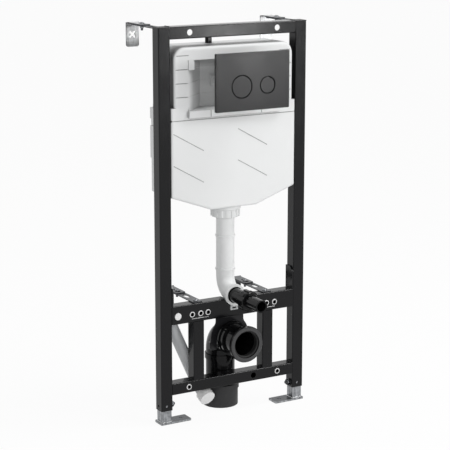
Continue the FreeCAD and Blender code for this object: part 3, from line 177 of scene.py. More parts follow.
def new_finish(name):
    """An empty material, its node tree and the output that its shader feeds."""
    finish = bpy.data.materials.new(name)
    finish.use_nodes = True
    finish.node_tree.nodes.clear()
    return finish, finish.node_tree, add_node(finish.node_tree, "ShaderNodeOutputMaterial")


def shaded(colour, share):
    """A share of a colour's light."""
    return tuple(channel * share for channel in colour[:3]) + (1.0,)


def noise(tree, where, size, detail):
    """A noise with patches of a size in mm."""
    return add_node(tree, "ShaderNodeTexNoise", {"Scale": 1 / (size * MM), "Detail": detail},
                    {"Vector": where}).outputs["Fac"]


def spread(tree, value, low, high, start=0.0, end=1.0):
    """Map a value's range to another, from nought to one unless it is told."""
    return add_node(tree, "ShaderNodeMapRange", {"From Min": low, "From Max": high,
                                                 "To Min": start, "To Max": end},
                    {"Value": value}).outputs["Result"]


def colour_mix(tree, values, links):
    return add_node(tree, "ShaderNodeMix", values, links, data_type="RGBA").outputs[MIX_RESULT]


def close_finish(tree, output, constants, tone, drift, gloss, height, relief):
    """Feed the shader: a tone, a gloss that drifts between two values, and a relief in mm."""
    roughness = spread(tree, drift, NOISE_LOW, NOISE_HIGH, *gloss)
    bump = add_node(tree, "ShaderNodeBump", {"Strength": 1.0, "Distance": relief * MM},
                    {"Height": height}).outputs["Normal"]
    shader = add_node(tree, "ShaderNodeBsdfPrincipled", constants,
                      {"Base Color": tone, "Roughness": roughness, "Normal": bump})
    tree.links.new(shader.outputs["BSDF"], output.inputs["Surface"])


def grained(name, colour, shade, patch, grain, relief, smooth, rough, constants,
            painted_crevice_shade=None, painted_depth_shade=None):
    """A surface whose colour and gloss drift over patches, with a fine grain; sizes in mm.

    A crevice shade of (reach, tone) paints shade into corners and hollows, darkening the colour to
    that share of it. A depth shade of (start, end, tone) paints shade evenly from one depth behind
    the front to another.
    """
    finish, tree, output = new_finish(name)
    where = add_node(tree, "ShaderNodeTexCoord").outputs["Object"]
    drift = noise(tree, where, patch, PATCH_DETAIL)
    tone = colour_mix(tree, {MIX_A: shaded(colour, shade), MIX_B: tuple(colour)},
                      {"Factor": drift})
    # Painted shade: darker in corners and hollows, or darker with depth behind the front.
    if painted_crevice_shade:
        reach, share = painted_crevice_shade
        sky = add_node(tree, "ShaderNodeAmbientOcclusion", {"Distance": reach * MM},
                       samples=CREVICE_RAYS).outputs["AO"]
        openness = spread(tree, sky, CREVICE_LOW, CREVICE_HIGH)
    elif painted_depth_shade:
        start, end, share = painted_depth_shade
        depth = add_node(tree, "ShaderNodeSeparateXYZ", None, {"Vector": where}).outputs["Y"]
        openness = spread(tree, depth, end * MM, start * MM)
    if painted_crevice_shade or painted_depth_shade:
        tone = colour_mix(tree, {MIX_A: shaded(colour, share)}, {"Factor": openness, MIX_B: tone})
    close_finish(tree, output, constants, tone, drift, (smooth, rough),
                 noise(tree, where, grain, GRAIN_DETAIL), relief)
    return finish


def powder_coated_steel(name, colour):
    # Black polyester powder, sprayed and baked: a satin skin with an even orange peel, drawn at
    # 3 mm so that it shows.
    return grained(name, colour, shade=0.82, patch=60.0, grain=3.0, relief=0.012, smooth=0.14,
                   rough=0.2, constants={"IOR": 1.5, "Specular IOR Level": 0.22})


def moulded_nylon(colour):
    # Polyamide sleeves and clip, injection moulded: pale, slightly waxy, with a soft sheen.
    return grained("Moulded nylon", colour, shade=0.9, patch=6.0, grain=0.8, relief=0.02,
                   smooth=0.4, rough=0.5, constants={"IOR": 1.53})


def blow_moulded_polyethylene(colour):
    # White polyethylene, blow moulded: even satin white with a faint waviness of the wall.
    # Painted shade darkens its grooves and corners, and where other parts stand close.
    return grained("Blow moulded polyethylene", colour, painted_crevice_shade=PAINTED_GROOVE_SHADE, **POLYETHYLENE)


def recess_polyethylene(colour, front):
    # The same white in the recess, darker towards the back with painted shade. Its shallow grooves
    # hold no painted shade of their own, so it looks plain.
    start, end = front / MM + RECESS_START, front / MM + RECESS_END
    return grained("Recess polyethylene in painted shade", colour, painted_depth_shade=(start, end, RECESS_PAINTED_SHADE), **POLYETHYLENE)


def white_polypropylene(colour):
    # Polypropylene pipe, extruded and bent: white, with a smooth soft gloss along its length.
    return grained("White polypropylene", colour, shade=0.95, patch=45.0, grain=4.0, relief=0.02,
                   smooth=0.28, rough=0.37, constants={"IOR": 1.49})


def black_polypropylene(colour):
    # Black polypropylene fittings, injection moulded: deep black with a soft gloss.
    return grained("Black polypropylene", colour, shade=0.7, patch=30.0, grain=2.5, relief=0.01,
                   smooth=0.1, rough=0.17, constants={"IOR": 1.49, "Specular IOR Level": 0.18})


def matt_polyethylene(colour):
    # Black polyethylene pipe end, extruded and left unpolished: dull dark grey, faintly scuffed.
    return grained("Matt polyethylene", colour, shade=0.8, patch=25.0, grain=1.5, relief=0.03,
                   smooth=0.45, rough=0.6, constants={"IOR": 1.5, "Specular IOR Level": 0.25})


def blackened_steel(colour):
    # Thread inserts, blackened in a hot salt bath: near black metal that only glints on its edges.
    return grained("Blackened steel", colour, shade=0.6, patch=5.0, grain=0.6, relief=0.02,
                   smooth=0.3, rough=0.42, constants={"Metallic": 1.0})


def sheared_steel(colour):
    # Edges of plated sheet, punched and sheared: bare steel, darker and duller than the zinc.
    # The dark edge is also painted shade along the sheet's edges and holes.
    return grained("Sheared steel", colour, shade=0.6, patch=8.0, grain=1.0, relief=0.03,
                   smooth=0.4, rough=0.55, constants={"Metallic": 1.0})


def black_rubber(colour):
    # Moulded rubber lip and gasket: dull black that takes no clear highlight.
    return grained("Black rubber", colour, shade=0.7, patch=12.0, grain=1.2, relief=0.05,
                   smooth=0.62, rough=0.75, constants={"IOR": 1.52})


def cap_plastic(colour):
    # Low gloss polyethylene caps, moulded with a spark eroded grain.
    return grained("Moulded cap plastic", colour, shade=0.85, patch=15.0, grain=1.0, relief=0.04,
                   smooth=0.45, rough=0.55, constants={"IOR": 1.5})


def matt_black_abs(colour):
    # Painted ABS: soft touch matt black, a very fine even grain and little gloss.
    return grained("Matt black ABS", colour, shade=0.93, patch=70.0, grain=0.7, relief=0.01,
                   smooth=0.22, rough=0.26, constants={"IOR": 1.5, "Specular IOR Level": 0.26})


def grey_pvc(colour):
    # Extruded PVC conduit: light grey with a dry satin skin.
    return grained("Grey PVC", colour, shade=0.94, patch=35.0, grain=2.0, relief=0.03,
                   smooth=0.4, rough=0.5, constants={"IOR": 1.53})


def zinc_plated_steel(name, colour, shade, smooth, rough):
    # Pressed steel, zinc plated: cool grey metal with long rolling streaks and blotches of the
    # passivation.
    finish, tree, output = new_finish(name)
    where = add_node(tree, "ShaderNodeTexCoord").outputs["Object"]
    streaks = add_node(tree, "ShaderNodeMapping",
                       {"Scale": tuple(1 / (size * MM) for size in ZINC_STREAK)},
                       {"Vector": where}).outputs["Vector"]
    rolled = add_node(tree, "ShaderNodeTexNoise", {"Scale": 1.0, "Detail": STREAK_DETAIL},
                      {"Vector": streaks}).outputs["Fac"]
    cloud = noise(tree, where, ZINC_CLOUD, CLOUD_DETAIL)
    both = add_node(tree, "ShaderNodeMath", None, {0: rolled, 1: cloud},
                    operation="MULTIPLY").outputs[0]
    tone = colour_mix(tree, {MIX_A: shaded(colour, shade), MIX_B: tuple(colour)},
                      {"Factor": spread(tree, both, ZINC_LOW, ZINC_HIGH)})
    close_finish(tree, output, {"Metallic": 1.0}, tone, cloud, (smooth, rough), rolled,
                 ZINC_RELIEF)
    return finish


def coat_nodes(finish, *names):
    """Give a finish to CAD nodes."""
    for name in names:
        mesh = NODES[name].data
        mesh.materials.clear()
        mesh.materials.append(finish)


def coat_where(finish, name, wanted):
    """Give a second finish to the faces of a CAD node that are wanted."""
    mesh = NODES[name].data
    mesh.materials.append(finish)
    for face in mesh.polygons:
        if wanted(face):
            face.material_index = len(mesh.materials) - 1


def metal_behind(skin, face):
    """How far the solid runs on behind a face."""
    depth = skin.ray_cast(face.center - face.normal * SKIN_GAP, -face.normal)[3]
    return math.inf if depth is None else depth


def coat_edges(finish, limit, *names):
    """Give a second finish to the cut edges of sheet, where metal runs deep behind the face."""
    for name in names:
        mesh = NODES[name].data
        skin = BVHTree.FromPolygons([corner.co for corner in mesh.vertices],
                                    [face.vertices for face in mesh.polygons])
        coat_where(finish, name, lambda face: metal_behind(skin, face) > limit)


# Small hardware
UP, DOWN, BACK, RIGHT, FORWARD = (0, 0, 1), (0, 0, -1), (0, 1, 0), (1, 0, 0), (0, -1, 0)
ON_AXIS = 1e-7               # a smaller radius than this is a point on the axis
RING_POINTS = 24             # round a nut or a screw's head
SIXTH = math.pi / 3          # a side of a hexagon
HEAD_DOME = ((1.0, 0.0), (1.0, 0.35), (0.86, 0.72), (0.62, 0.95))  # shares of radius and height
HEAD_HOLE = ((1.08, 1.0), (1.0, 0.96), (1.0, 0.35))                # shares of key and height
BEAD_POINTS = 10             # round a weld bead
BEAD_STEPS, BEAD_LEAST = 4, 6  # rings to each ripple, and in the shortest bead
BEAD_END = 0.35              # share of its width at a bead's ends
BEAD_RIPPLE = 0.12           # share of its width that a bead's ripples take
WELD_INSET = 5 * MM          # from a rail's front and back to the ends of its beads

# Bracket bolts and plate studs
ARM_SHEET = 3 * MM           # thickness of an arm
PLATE_SLIP = 0.3 * MM        # from a wall plate up to the bolt's head
BOLT_SETBACK = 40 * MM       # from an arm's wall end to its bolt
FIXING_SETBACK = 16 * MM     # from a middle arm's frame end to the bolt that fixes it
BOLT_ROOT, BOLT_POINT = 3.4 * MM, 3.0 * MM
BOLT_TIP, BOLT_TAPER = 0.4 * MM, 1.0 * MM   # the domed tip, and where the shank is full
BOLT_BARE = 0.5 * MM         # end of the shank without thread
BOLT_HEAD, BOLT_KEY = 7.5 * MM, 2.6 * MM
BOLT_WASHER_BORE, BOLT_WASHER_RIM = 4.2 * MM, 8 * MM
BOLT_NUT = {"radius": 6.5 * MM, "bore": 3.6 * MM, "height": 5.3 * MM, "chamfer": 0.7 * MM}
STUD_RADIUS = 4 * MM         # outer radius of a plate stud in the CAD

# Clamp screws
CLAMP_ROOT, CLAMP_POINT = 4.35 * MM, 3.6 * MM
CLAMP_THREAD, CLAMP_LENGTH = 12.6 * MM, 13.4 * MM
CLAMP_WASHER_BORE, CLAMP_WASHER_RIM, CLAMP_WASHER_THICK = 5 * MM, 12 * MM, 2 * MM
CLAMP_WASHER_EDGE = 0.5 * MM
CLAMP_NUT = {"radius": 9.8 * MM, "bore": 4.4 * MM, "height": 8 * MM, "chamfer": 0.9 * MM}

# Bushings
INSERT_INSET = 0.8 * MM      # from a bushing's ends to its insert
INSERT_WALL, INSERT_EASE = 0.5 * MM, 0.4 * MM
INSERT_PITCH = 1.4           # times the pitch of the small screws
MARK_RADIUS, MARK_OVERHANG = 0.7 * MM, 2 * MM

# Recess in the hood
RECESS_LIP = 4 * MM          # from the tank's front to the first face of the recess
RECESS_ROUND = 6 * MM        # rounding of the mouth on each side
RECESS_SLACK = 1 * MM        # leaves the recess's floor out, and takes its roof and back in

# Gasket on the waste flange
GASKET_GAP = 1 * MM          # from the rubber lip to the gasket's bore
GASKET_INSET = 2.2 * MM      # from the flange's rim to the gasket's edge
GASKET_THICK = 0.8 * MM
GASKET_LIP, GASKET_EASE = 0.5 * MM, 0.4 * MM   # where the bore's chamfer starts, and its width
GROOVE_START, GROOVE_MIDDLE, GROOVE_END = 3 * MM, 2.6 * MM, 2.2 * MM   # in from the edge
GROOVE_FLOOR = 0.3 * MM


def new_piece(name, shape, finish, body):
    """Make an object of a finished bmesh and let it ride on a body."""
    mesh = bpy.data.meshes.new(name)
    bmesh.ops.recalc_face_normals(shape, faces=shape.faces)
    shape.to_mesh(mesh)
    shape.free()
    piece = bpy.data.objects.new(name, mesh)
    bpy.context.scene.collection.objects.link(piece)
    mesh.materials.append(finish)
    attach(piece, body)
    return piece


def facing(centre, axis):
    """A transform that puts local Z along an axis at a centre."""
    turn = Vector((0, 0, 1)).rotation_difference(Vector(axis)).to_matrix().to_4x4()
    return Matrix.Translation(Vector(centre)) @ turn


def add_ring(shape, at, reach, height, points, six=False):
    """A ring of points round local Z; a six-sided ring has its corners at the reach."""
    ring = []
    for n in range(points):
        angle = 2 * math.pi * n / points
        far = reach
        if six:
            far *= math.cos(SIXTH / 2) / math.cos((angle + SIXTH / 2) % SIXTH - SIXTH / 2)
        ring.append(shape.verts.new(at @ Vector((far * math.cos(angle), far * math.sin(angle),
                                                 height))))
    return ring


def skin_rings(shape, rings, smooth=False):
    """Faces from each ring to the next; a ring of one point closes an end."""
    for low, high in zip(rings, rings[1:]):
        points = max(len(low), len(high))
        for n in range(points):
            follower = (n + 1) % points
            corners = [low[n % len(low)], low[follower % len(low)],
                       high[follower % len(high)], high[n % len(high)]]
            corners = list(dict.fromkeys(corners))
            if len(corners) > 2:
                shape.faces.new(corners).smooth = smooth


def turn_profile(shape, profile, centre, axis, segments, smooth=True):
    """Turn (radius, height) points about an axis; a point on the axis closes the end."""
    at = facing(centre, axis)
    rings = []
    for radius, height in profile:
        points = 1 if radius < ON_AXIS else segments
        rings.append(add_ring(shape, at, radius, height, points))
    skin_rings(shape, rings, smooth)


def screw_thread(shape, centre, axis, root, length, pitch, depth, segments=14):
    """A helical thread that stands on a shank of the root radius."""
    at = facing(centre, axis)
    steps = int(segments * (length / pitch - 1))
    lines = {"start": [], "crest": [], "end": []}
    for step in range(steps + 1):
        angle = 2 * math.pi * step / segments
        rise = pitch * step / segments
        for name, radius, shift in (("start", root, 0.0), ("crest", root + depth, 0.5),
                                    ("end", root, 1.0)):
            point = Vector((radius * math.cos(angle), radius * math.sin(angle),
                            rise + shift * pitch))
            lines[name].append(shape.verts.new(at @ point))
    for low, high in (("start", "crest"), ("crest", "end")):
        for n in range(steps):
            shape.faces.new([lines[low][n], lines[low][n + 1], lines[high][n + 1], lines[high][n]])


def hex_nut(shape, centre, axis, radius, bore, height, chamfer):
    """A six-sided nut with chamfered corners and an open bore."""
    at = facing(centre, axis)
    flat = radius * math.cos(SIXTH / 2)
    rings = [add_ring(shape, at, reach, level, RING_POINTS, six) for reach, level, six in (
        (bore, 0.0, False), (flat, 0.0, False), (radius, chamfer, True),
        (radius, height - chamfer, True), (flat, height, False), (bore, height, False))]
    skin_rings(shape, rings + rings[:1])


def socket_head(shape, centre, axis, radius, height, key):
    """A domed screw head with a hexagonal key hole."""
    at = facing(centre, axis)
    dome = [add_ring(shape, at, share * radius, level * height, RING_POINTS)
            for share, level in HEAD_DOME]
    hole = [add_ring(shape, at, share * key, level * height, RING_POINTS, six=True)
            for share, level in HEAD_HOLE]
    skin_rings(shape, dome + hole[:1], smooth=True)
    skin_rings(shape, hole)
    shape.faces.new(hole[-1])
    shape.faces.new(list(reversed(dome[0])))


def weld_bead(shape, start, end, radius, ripple):
    """A rippled bead of weld along a straight corner, at full width a radius from its ends."""
    start, end = Vector(start), Vector(end)
    run = end - start
    at = facing(start, run.normalized())
    steps = max(BEAD_LEAST, int(run.length / ripple * BEAD_STEPS))
    rings = []
    for step in range(steps + 1):
        along = run.length * step / steps
        fade = min(1.0, BEAD_END + 2.0 * min(along, run.length - along) / (3 * radius))
        wave = math.cos(2 * math.pi * along / ripple)
        swell = radius * fade * (1 - BEAD_RIPPLE + BEAD_RIPPLE * wave)
        rings.append(add_ring(shape, at, swell, along, BEAD_POINTS))
    skin_rings(shape, rings, smooth=True)
    shape.faces.new(list(reversed(rings[0])))
    shape.faces.new(rings[-1])


class TOILET_FRAME_OT_steel_frame(bpy.types.Operator):
    """Coat the posts, rails, waste holder and caps, and lay the weld beads where rails meet"""
    bl_idname = "toilet_frame.steel_frame"
    bl_label = "Steel frame"

    def execute(self, context):
        colours = context.scene.toilet_frame_colours
        sizes = context.scene.toilet_frame_sizes
        coat = powder_coated_steel("Powder coated steel", colours.coat)
        coat_nodes(coat, "left_post", "right_post", "top_rail", "middle_rail", "low_rail",
                   "left_upright", "right_upright", "post_gussets")
        # Painted light: the waste holder takes the frame's coat drawn lighter.
        coat_nodes(powder_coated_steel("Powder coated sheet in painted light", colours.holder), "waste_holder")
        coat_nodes(cap_plastic(colours.cap), "post_caps")
        beads = bmesh.new()
        for rail in ("top_rail", "middle_rail", "low_rail", "left_upright", "right_upright"):
            low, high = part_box(rail)
            for x in (low.x, high.x):
                for z in (low.z, high.z):
                    weld_bead(beads, (x, low.y + WELD_INSET, z), (x, high.y - WELD_INSET, z),
                              sizes.weld_radius, sizes.weld_ripple)
        new_piece("weld_beads", beads, coat, "frame")
        return {"FINISHED"}


class TOILET_FRAME_OT_feet_and_brackets(bpy.types.Operator):
    """Plate the feet and wall brackets, and fit the bolts, nuts, clamp screws and plate studs"""
    bl_idname = "toilet_frame.feet_and_brackets"
    bl_label = "Feet and brackets"

    def execute(self, context):
        sizes = context.scene.toilet_frame_sizes
        colours = context.scene.toilet_frame_colours
        zinc = zinc_plated_steel("Zinc plated steel", colours.zinc, shade=0.42, smooth=0.28,
                                 rough=0.38)
        # Painted light and shade: the same zinc drawn lighter on some parts and darker on others.
        painted_light_zinc = zinc_plated_steel("Zinc plated steel in painted light", colours.lit_zinc, shade=0.6,
                                   smooth=0.3, rough=0.45)
        # Painted shade: this zinc is drawn darker.
        dull = zinc_plated_steel("Zinc plated steel in painted shade", colours.shaded_zinc, shade=0.4,
                                 smooth=0.28, rough=0.4)
        brackets = ["upper_left", "upper_right", "middle_left", "middle_right"]
        coat_nodes(zinc, "left_leg", "right_leg")
        coat_nodes(dull, "left_foot_plate", "right_foot_plate", "middle_left_wall_plate",
                   "middle_right_wall_plate", *[f"{name}_arm" for name in brackets])
        coat_nodes(painted_light_zinc, "upper_left_wall_plate", "upper_right_wall_plate")
        # Painted highlight: the foot plates' edges keep the plain zinc, lighter than their shaded
        # tops.
        coat_edges(zinc, sizes.foot_limit, "left_foot_plate", "right_foot_plate")
        # Bare cut steel and painted shade on the brackets' edges and holes.
        coat_edges(sheared_steel(colours.sheared), sizes.sheet_limit,
                   *[f"{name}_{part}" for name in brackets for part in ("arm", "wall_plate")])
        for side in ("left", "right"):
            self.weld_leg(side, sizes, painted_light_zinc)
        self.fit_bracket_bolts(brackets, sizes, zinc)
        self.fit_clamp_screws(sizes, dull)
        self.fit_plate_studs(sizes, zinc)
        return {"FINISHED"}

    def weld_leg(self, side, sizes, zinc):
        """Beads of weld round the bottom of a leg on its foot plate."""
        low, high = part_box(f"{side}_leg")
        corners = [(low.x, low.y), (high.x, low.y), (high.x, high.y), (low.x, high.y)]
        beads = bmesh.new()
        for start, end in zip(corners, corners[1:] + corners[:1]):
            weld_bead(beads, (*start, low.z), (*end, low.z), sizes.weld_radius, sizes.weld_ripple)
        new_piece(f"{side}_leg_weld", beads, zinc, f"{side}_foot")

    def fit_bracket_bolts(self, brackets, sizes, zinc):
        """A bolt, washer and nut through each arm, and the bolts that fix the middle arms."""
        bolts = bmesh.new()
        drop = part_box("middle_left_arm")[1].z - ARM_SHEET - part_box("bracket_bolts")[0].z
        shank = [(0, drop), (BOLT_POINT, drop - BOLT_TIP), (BOLT_ROOT, drop - BOLT_TAPER),
                 (BOLT_ROOT, -ARM_SHEET), (0, -ARM_SHEET)]
        washer = [(BOLT_WASHER_BORE, 0), (BOLT_WASHER_RIM, 0),
                  (BOLT_WASHER_RIM, sizes.washer_thick), (BOLT_WASHER_BORE, sizes.washer_thick),
                  (BOLT_WASHER_BORE, 0)]
        for name in brackets:
            arm_low, arm_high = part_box(f"{name}_arm")
            plate_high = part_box(f"{name}_wall_plate")[1]
            x = (arm_low.x + arm_high.x) / 2
            y = arm_high.y - BOLT_SETBACK
            underside = arm_high.z - ARM_SHEET
            socket_head(bolts, (x, y, plate_high.z + PLATE_SLIP), UP, BOLT_HEAD,
                        sizes.bolt_head_height, BOLT_KEY)
            turn_profile(bolts, shank, (x, y, underside), DOWN, segments=20)
            screw_thread(bolts, (x, y, underside), DOWN, BOLT_ROOT, drop - BOLT_BARE,
                         sizes.thread_pitch, sizes.thread_depth)
            turn_profile(bolts, washer, (x, y, underside), DOWN, segments=32, smooth=False)
            hex_nut(bolts, (x, y, underside - sizes.washer_thick), DOWN, **BOLT_NUT)
        for name in ("middle_left_arm", "middle_right_arm"):
            arm_low, arm_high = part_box(name)
            x = (arm_low.x + arm_high.x) / 2
            socket_head(bolts, (x, arm_low.y + FIXING_SETBACK, arm_high.z), UP, BOLT_HEAD,
                        sizes.bolt_head_height, BOLT_KEY)
        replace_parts(new_piece("bracket_bolt_set", bolts, zinc, "frame"),
                    "bracket_bolts")

    def fit_clamp_screws(self, sizes, zinc):
        """A washer, a nut and a screw's end on the inner face of each post."""
        screws = bmesh.new()
        low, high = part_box("clamp_screws")
        y, z = (low.y + high.y) / 2, (low.z + high.z) / 2
        washer = [(CLAMP_WASHER_BORE, 0), (CLAMP_WASHER_RIM, 0),
                  (CLAMP_WASHER_RIM, CLAMP_WASHER_THICK - CLAMP_WASHER_EDGE),
                  (CLAMP_WASHER_RIM - CLAMP_WASHER_EDGE, CLAMP_WASHER_THICK),
                  (CLAMP_WASHER_BORE, CLAMP_WASHER_THICK)]
        shank = [(CLAMP_ROOT, 0), (CLAMP_ROOT, CLAMP_THREAD), (CLAMP_POINT, CLAMP_LENGTH),
                 (0, CLAMP_LENGTH)]
        for face, inward in ((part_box("left_post")[1].x, 1), (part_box("right_post")[0].x, -1)):
            axis = (inward, 0, 0)
            turn_profile(screws, washer, (face, y, z), axis, segments=40, smooth=False)
            head = Vector((face + inward * CLAMP_WASHER_THICK, y, z))
            hex_nut(screws, head, axis, **CLAMP_NUT)
            turn_profile(screws, shank, head, axis, segments=24)
            screw_thread(screws, head, axis, CLAMP_ROOT, CLAMP_THREAD, sizes.thread_pitch,
                         sizes.thread_depth)
        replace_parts(new_piece("clamp_screw_set", screws, zinc, "frame"),
                    "clamp_screws")

    def fit_plate_studs(self, sizes, zinc):
        """The threaded studs that carry the flush plate's mount."""
        studs = bmesh.new()
        low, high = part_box("plate_studs")
        z = (low.z + high.z) / 2
        length = high.y - low.y
        shank = [(0, 0), (BOLT_ROOT, 0), (BOLT_ROOT, length), (0, length)]
        for x in (low.x + STUD_RADIUS, high.x - STUD_RADIUS):
            turn_profile(studs, shank, (x, low.y, z), BACK, segments=20)
            screw_thread(studs, (x, low.y, z), BACK, BOLT_ROOT, length, sizes.thread_pitch,
                         sizes.thread_depth)
        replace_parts(new_piece("threaded_plate_studs", studs, zinc, "frame"),
                    "plate_studs")


class TOILET_FRAME_OT_bushings(bpy.types.Operator):
    """Finish the sleeves for the bowl's studs, their thread inserts and the marks under them"""
    bl_idname = "toilet_frame.bushings"
    bl_label = "Bushings"

    def execute(self, context):
        colours = context.scene.toilet_frame_colours
        sizes = context.scene.toilet_frame_sizes
        nylon = moulded_nylon(colours.nylon)
        coat_nodes(nylon, "stud_bushings", "low_bushings", "rail_plug")
        low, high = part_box("stud_bushings")
        middle = (low.x + high.x) / 2
        radius = (high.z - low.z) / 2
        spare = (high.x - low.x) / 2 - radius
        height = (low.z + high.z) / 2
        places = [(middle + side * reach, height) for side in (-1, 1)
                  for reach in (sizes.stud_near, sizes.stud_far, spare)]
        low_z = sum(corner.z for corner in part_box("low_bushings")) / 2
        low_reach = (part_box("low_bushings")[1].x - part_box("low_bushings")[0].x) / 2 - radius
        places += [(middle + side * low_reach, low_z) for side in (-1, 1)]
        inserts = bmesh.new()
        for x, z in places:
            self.fit_insert(inserts, (x, low.y + INSERT_INSET, z),
                            high.y - low.y - 2 * INSERT_INSET, sizes)
        new_piece("thread_inserts", inserts, blackened_steel(colours.thread), "frame")
        marks = bmesh.new()
        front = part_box("middle_rail")[0].y
        length = spare - sizes.stud_near + 2 * MARK_OVERHANG
        line = [(0, 0), (MARK_RADIUS, MARK_RADIUS), (MARK_RADIUS, length - MARK_RADIUS),
                (0, length)]
        for start in (middle - spare - MARK_OVERHANG, middle + sizes.stud_near - MARK_OVERHANG):
            turn_profile(marks, line, (start, front, height - sizes.mark_drop), RIGHT, segments=12)
        new_piece("stud_marks", marks, nylon, "frame")
        return {"FINISHED"}

    def fit_insert(self, shape, start, length, sizes):
        """A sleeve with an inside thread, from its front end backwards."""
        outer, bore = sizes.stud_thread, sizes.stud_thread - INSERT_WALL
        sleeve = [(bore, INSERT_EASE), (bore + INSERT_EASE, 0), (outer, 0), (outer, length),
                  (bore, length), (bore, INSERT_EASE)]
        turn_profile(shape, sleeve, start, BACK, segments=32, smooth=False)
        screw_thread(shape, start, BACK, bore, length, INSERT_PITCH * sizes.thread_pitch,
                     -sizes.thread_depth)


class TOILET_FRAME_OT_cistern(bpy.types.Operator):
    """Finish the tank, the hood with its recess and lifter, and the water inlet"""
    bl_idname = "toilet_frame.cistern"
    bl_label = "Cistern"

    def execute(self, context):
        colours = context.scene.toilet_frame_colours
        sizes = context.scene.toilet_frame_sizes
        coat_nodes(blow_moulded_polyethylene(colours.tank), "cistern_tank", "cistern_hood")
        low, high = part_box("cistern_tank")
        middle = (low.x + high.x) / 2
        side = sizes.recess_half + RECESS_ROUND
        back = low.y + sizes.recess_depth + RECESS_SLACK
        floor, roof = sizes.recess_floor + RECESS_SLACK, sizes.recess_roof + RECESS_SLACK

        def in_recess(face):
            place = face.center
            return (abs(place.x - middle) < side and low.y + RECESS_LIP < place.y < back
                    and floor < place.z < roof)

        # Painted shade: the recess's faces and the lifter in it darken towards the back.
        recess_painted_shade = recess_polyethylene(colours.tank, low.y)
        coat_where(recess_painted_shade, "cistern_hood", in_recess)
        coat_nodes(recess_painted_shade, "valve_lifter")
        coat_nodes(black_polypropylene(colours.drain), "inlet_valve")
        return {"FINISHED"}


class TOILET_FRAME_OT_flush_plate(bpy.types.Operator):
    """Finish the flush plate, its buttons and the mount behind it"""
    bl_idname = "toilet_frame.flush_plate"
    bl_label = "Flush plate"

    def execute(self, context):
        matt = matt_black_abs(context.scene.toilet_frame_colours.plate)
        coat_nodes(matt, "flush_plate", "plate_mount", "full_flush_button", "half_flush_button")
        return {"FINISHED"}


class TOILET_FRAME_OT_flush_pipe(bpy.types.Operator):
    """Finish the flush pipe, its nut and its clip"""
    bl_idname = "toilet_frame.flush_pipe"
    bl_label = "Flush pipe"

    def execute(self, context):
        colours = context.scene.toilet_frame_colours
        coat_nodes(white_polypropylene(colours.pipe), "flush_pipe", "flush_collar")
        # Painted shade: the clip's nylon is drawn greyer than the bushings'.
        coat_nodes(moulded_nylon(colours.clip), "flush_clip")
        return {"FINISHED"}


class TOILET_FRAME_OT_waste(bpy.types.Operator):
    """Finish the waste bend, the waste and flush connectors, the rubber lip and the gasket"""
    bl_idname = "toilet_frame.waste"
    bl_label = "Waste bend"

    def execute(self, context):
        colours = context.scene.toilet_frame_colours
        sizes = context.scene.toilet_frame_sizes
        coat_nodes(black_polypropylene(colours.drain), "waste_bend", "waste_connector",
                   "flush_connector")
        coat_where(matt_polyethylene(colours.outlet), "waste_bend",
                   lambda face: face.center.z < sizes.outlet_height)
        coat_nodes(black_rubber(colours.rubber), "waste_seal")
        low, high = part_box("waste_connector")
        seal_low, seal_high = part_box("waste_seal")
        bore = (seal_high.z - seal_low.z) / 2 + GASKET_GAP
        edge = (high.z - low.z) / 2 - GASKET_INSET
        profile = [(bore, 0), (bore, GASKET_LIP), (bore + GASKET_EASE, GASKET_THICK),
                   (edge - GROOVE_START, GASKET_THICK), (edge - GROOVE_MIDDLE, GROOVE_FLOOR),
                   (edge - GROOVE_END, GASKET_THICK), (edge - GASKET_EASE, GASKET_THICK),
                   (edge, GASKET_THICK - GASKET_EASE), (edge, 0)]
        ring = bmesh.new()
        turn_profile(ring, profile, ((low.x + high.x) / 2, low.y, (low.z + high.z) / 2), FORWARD,
                     segments=96, smooth=False)
        # Painted reflection: the gasket's grey stands in for the sheen on the flange's face.
        new_piece("flange_gasket", ring, black_rubber(colours.gasket), "frame")
        return {"FINISHED"}


class TOILET_FRAME_OT_conduit(bpy.types.Operator):
    """Finish the service conduit, its cap and its clips"""
    bl_idname = "toilet_frame.conduit"
    bl_label = "Service conduit"

    def execute(self, context):
        colours = context.scene.toilet_frame_colours
        coat_nodes(grey_pvc(colours.conduit), "service_conduit", "conduit_clips")
        coat_nodes(white_polypropylene(colours.conduit_cap), "conduit_cap")
        return {"FINISHED"}


# Stage
SENSOR_WIDTH = 36.0                    # mm
VIEW_END = 100.0
FLOOR_HALF = 80.0
FLOOR_PLACE = (0.231, 0.0, -0.0005)    # a hair under the feet
FLOOR_COLOUR = "#f6f6f6"
FLOOR_GLOW = 0.94                      # share of the floor's white that no shadow takes
LAMP_TARGET = (0.231, 0.05, 0.65)
LAMPS = (                              # name, place, width and height, share of the key's power
    ("key", (2.6, -3.4, 2.2), (0.7, 0.7), 1.0),
    ("top", (1.8, -0.8, 3.4), (0.8, 0.8), 1.1),
    ("fill", (-2.4, -3.2, 1.9), (2.0, 2.0), 0.8),
    ("strip", (2.16, -3.4, 0.9), (0.22, 0.8), 0.32),
)


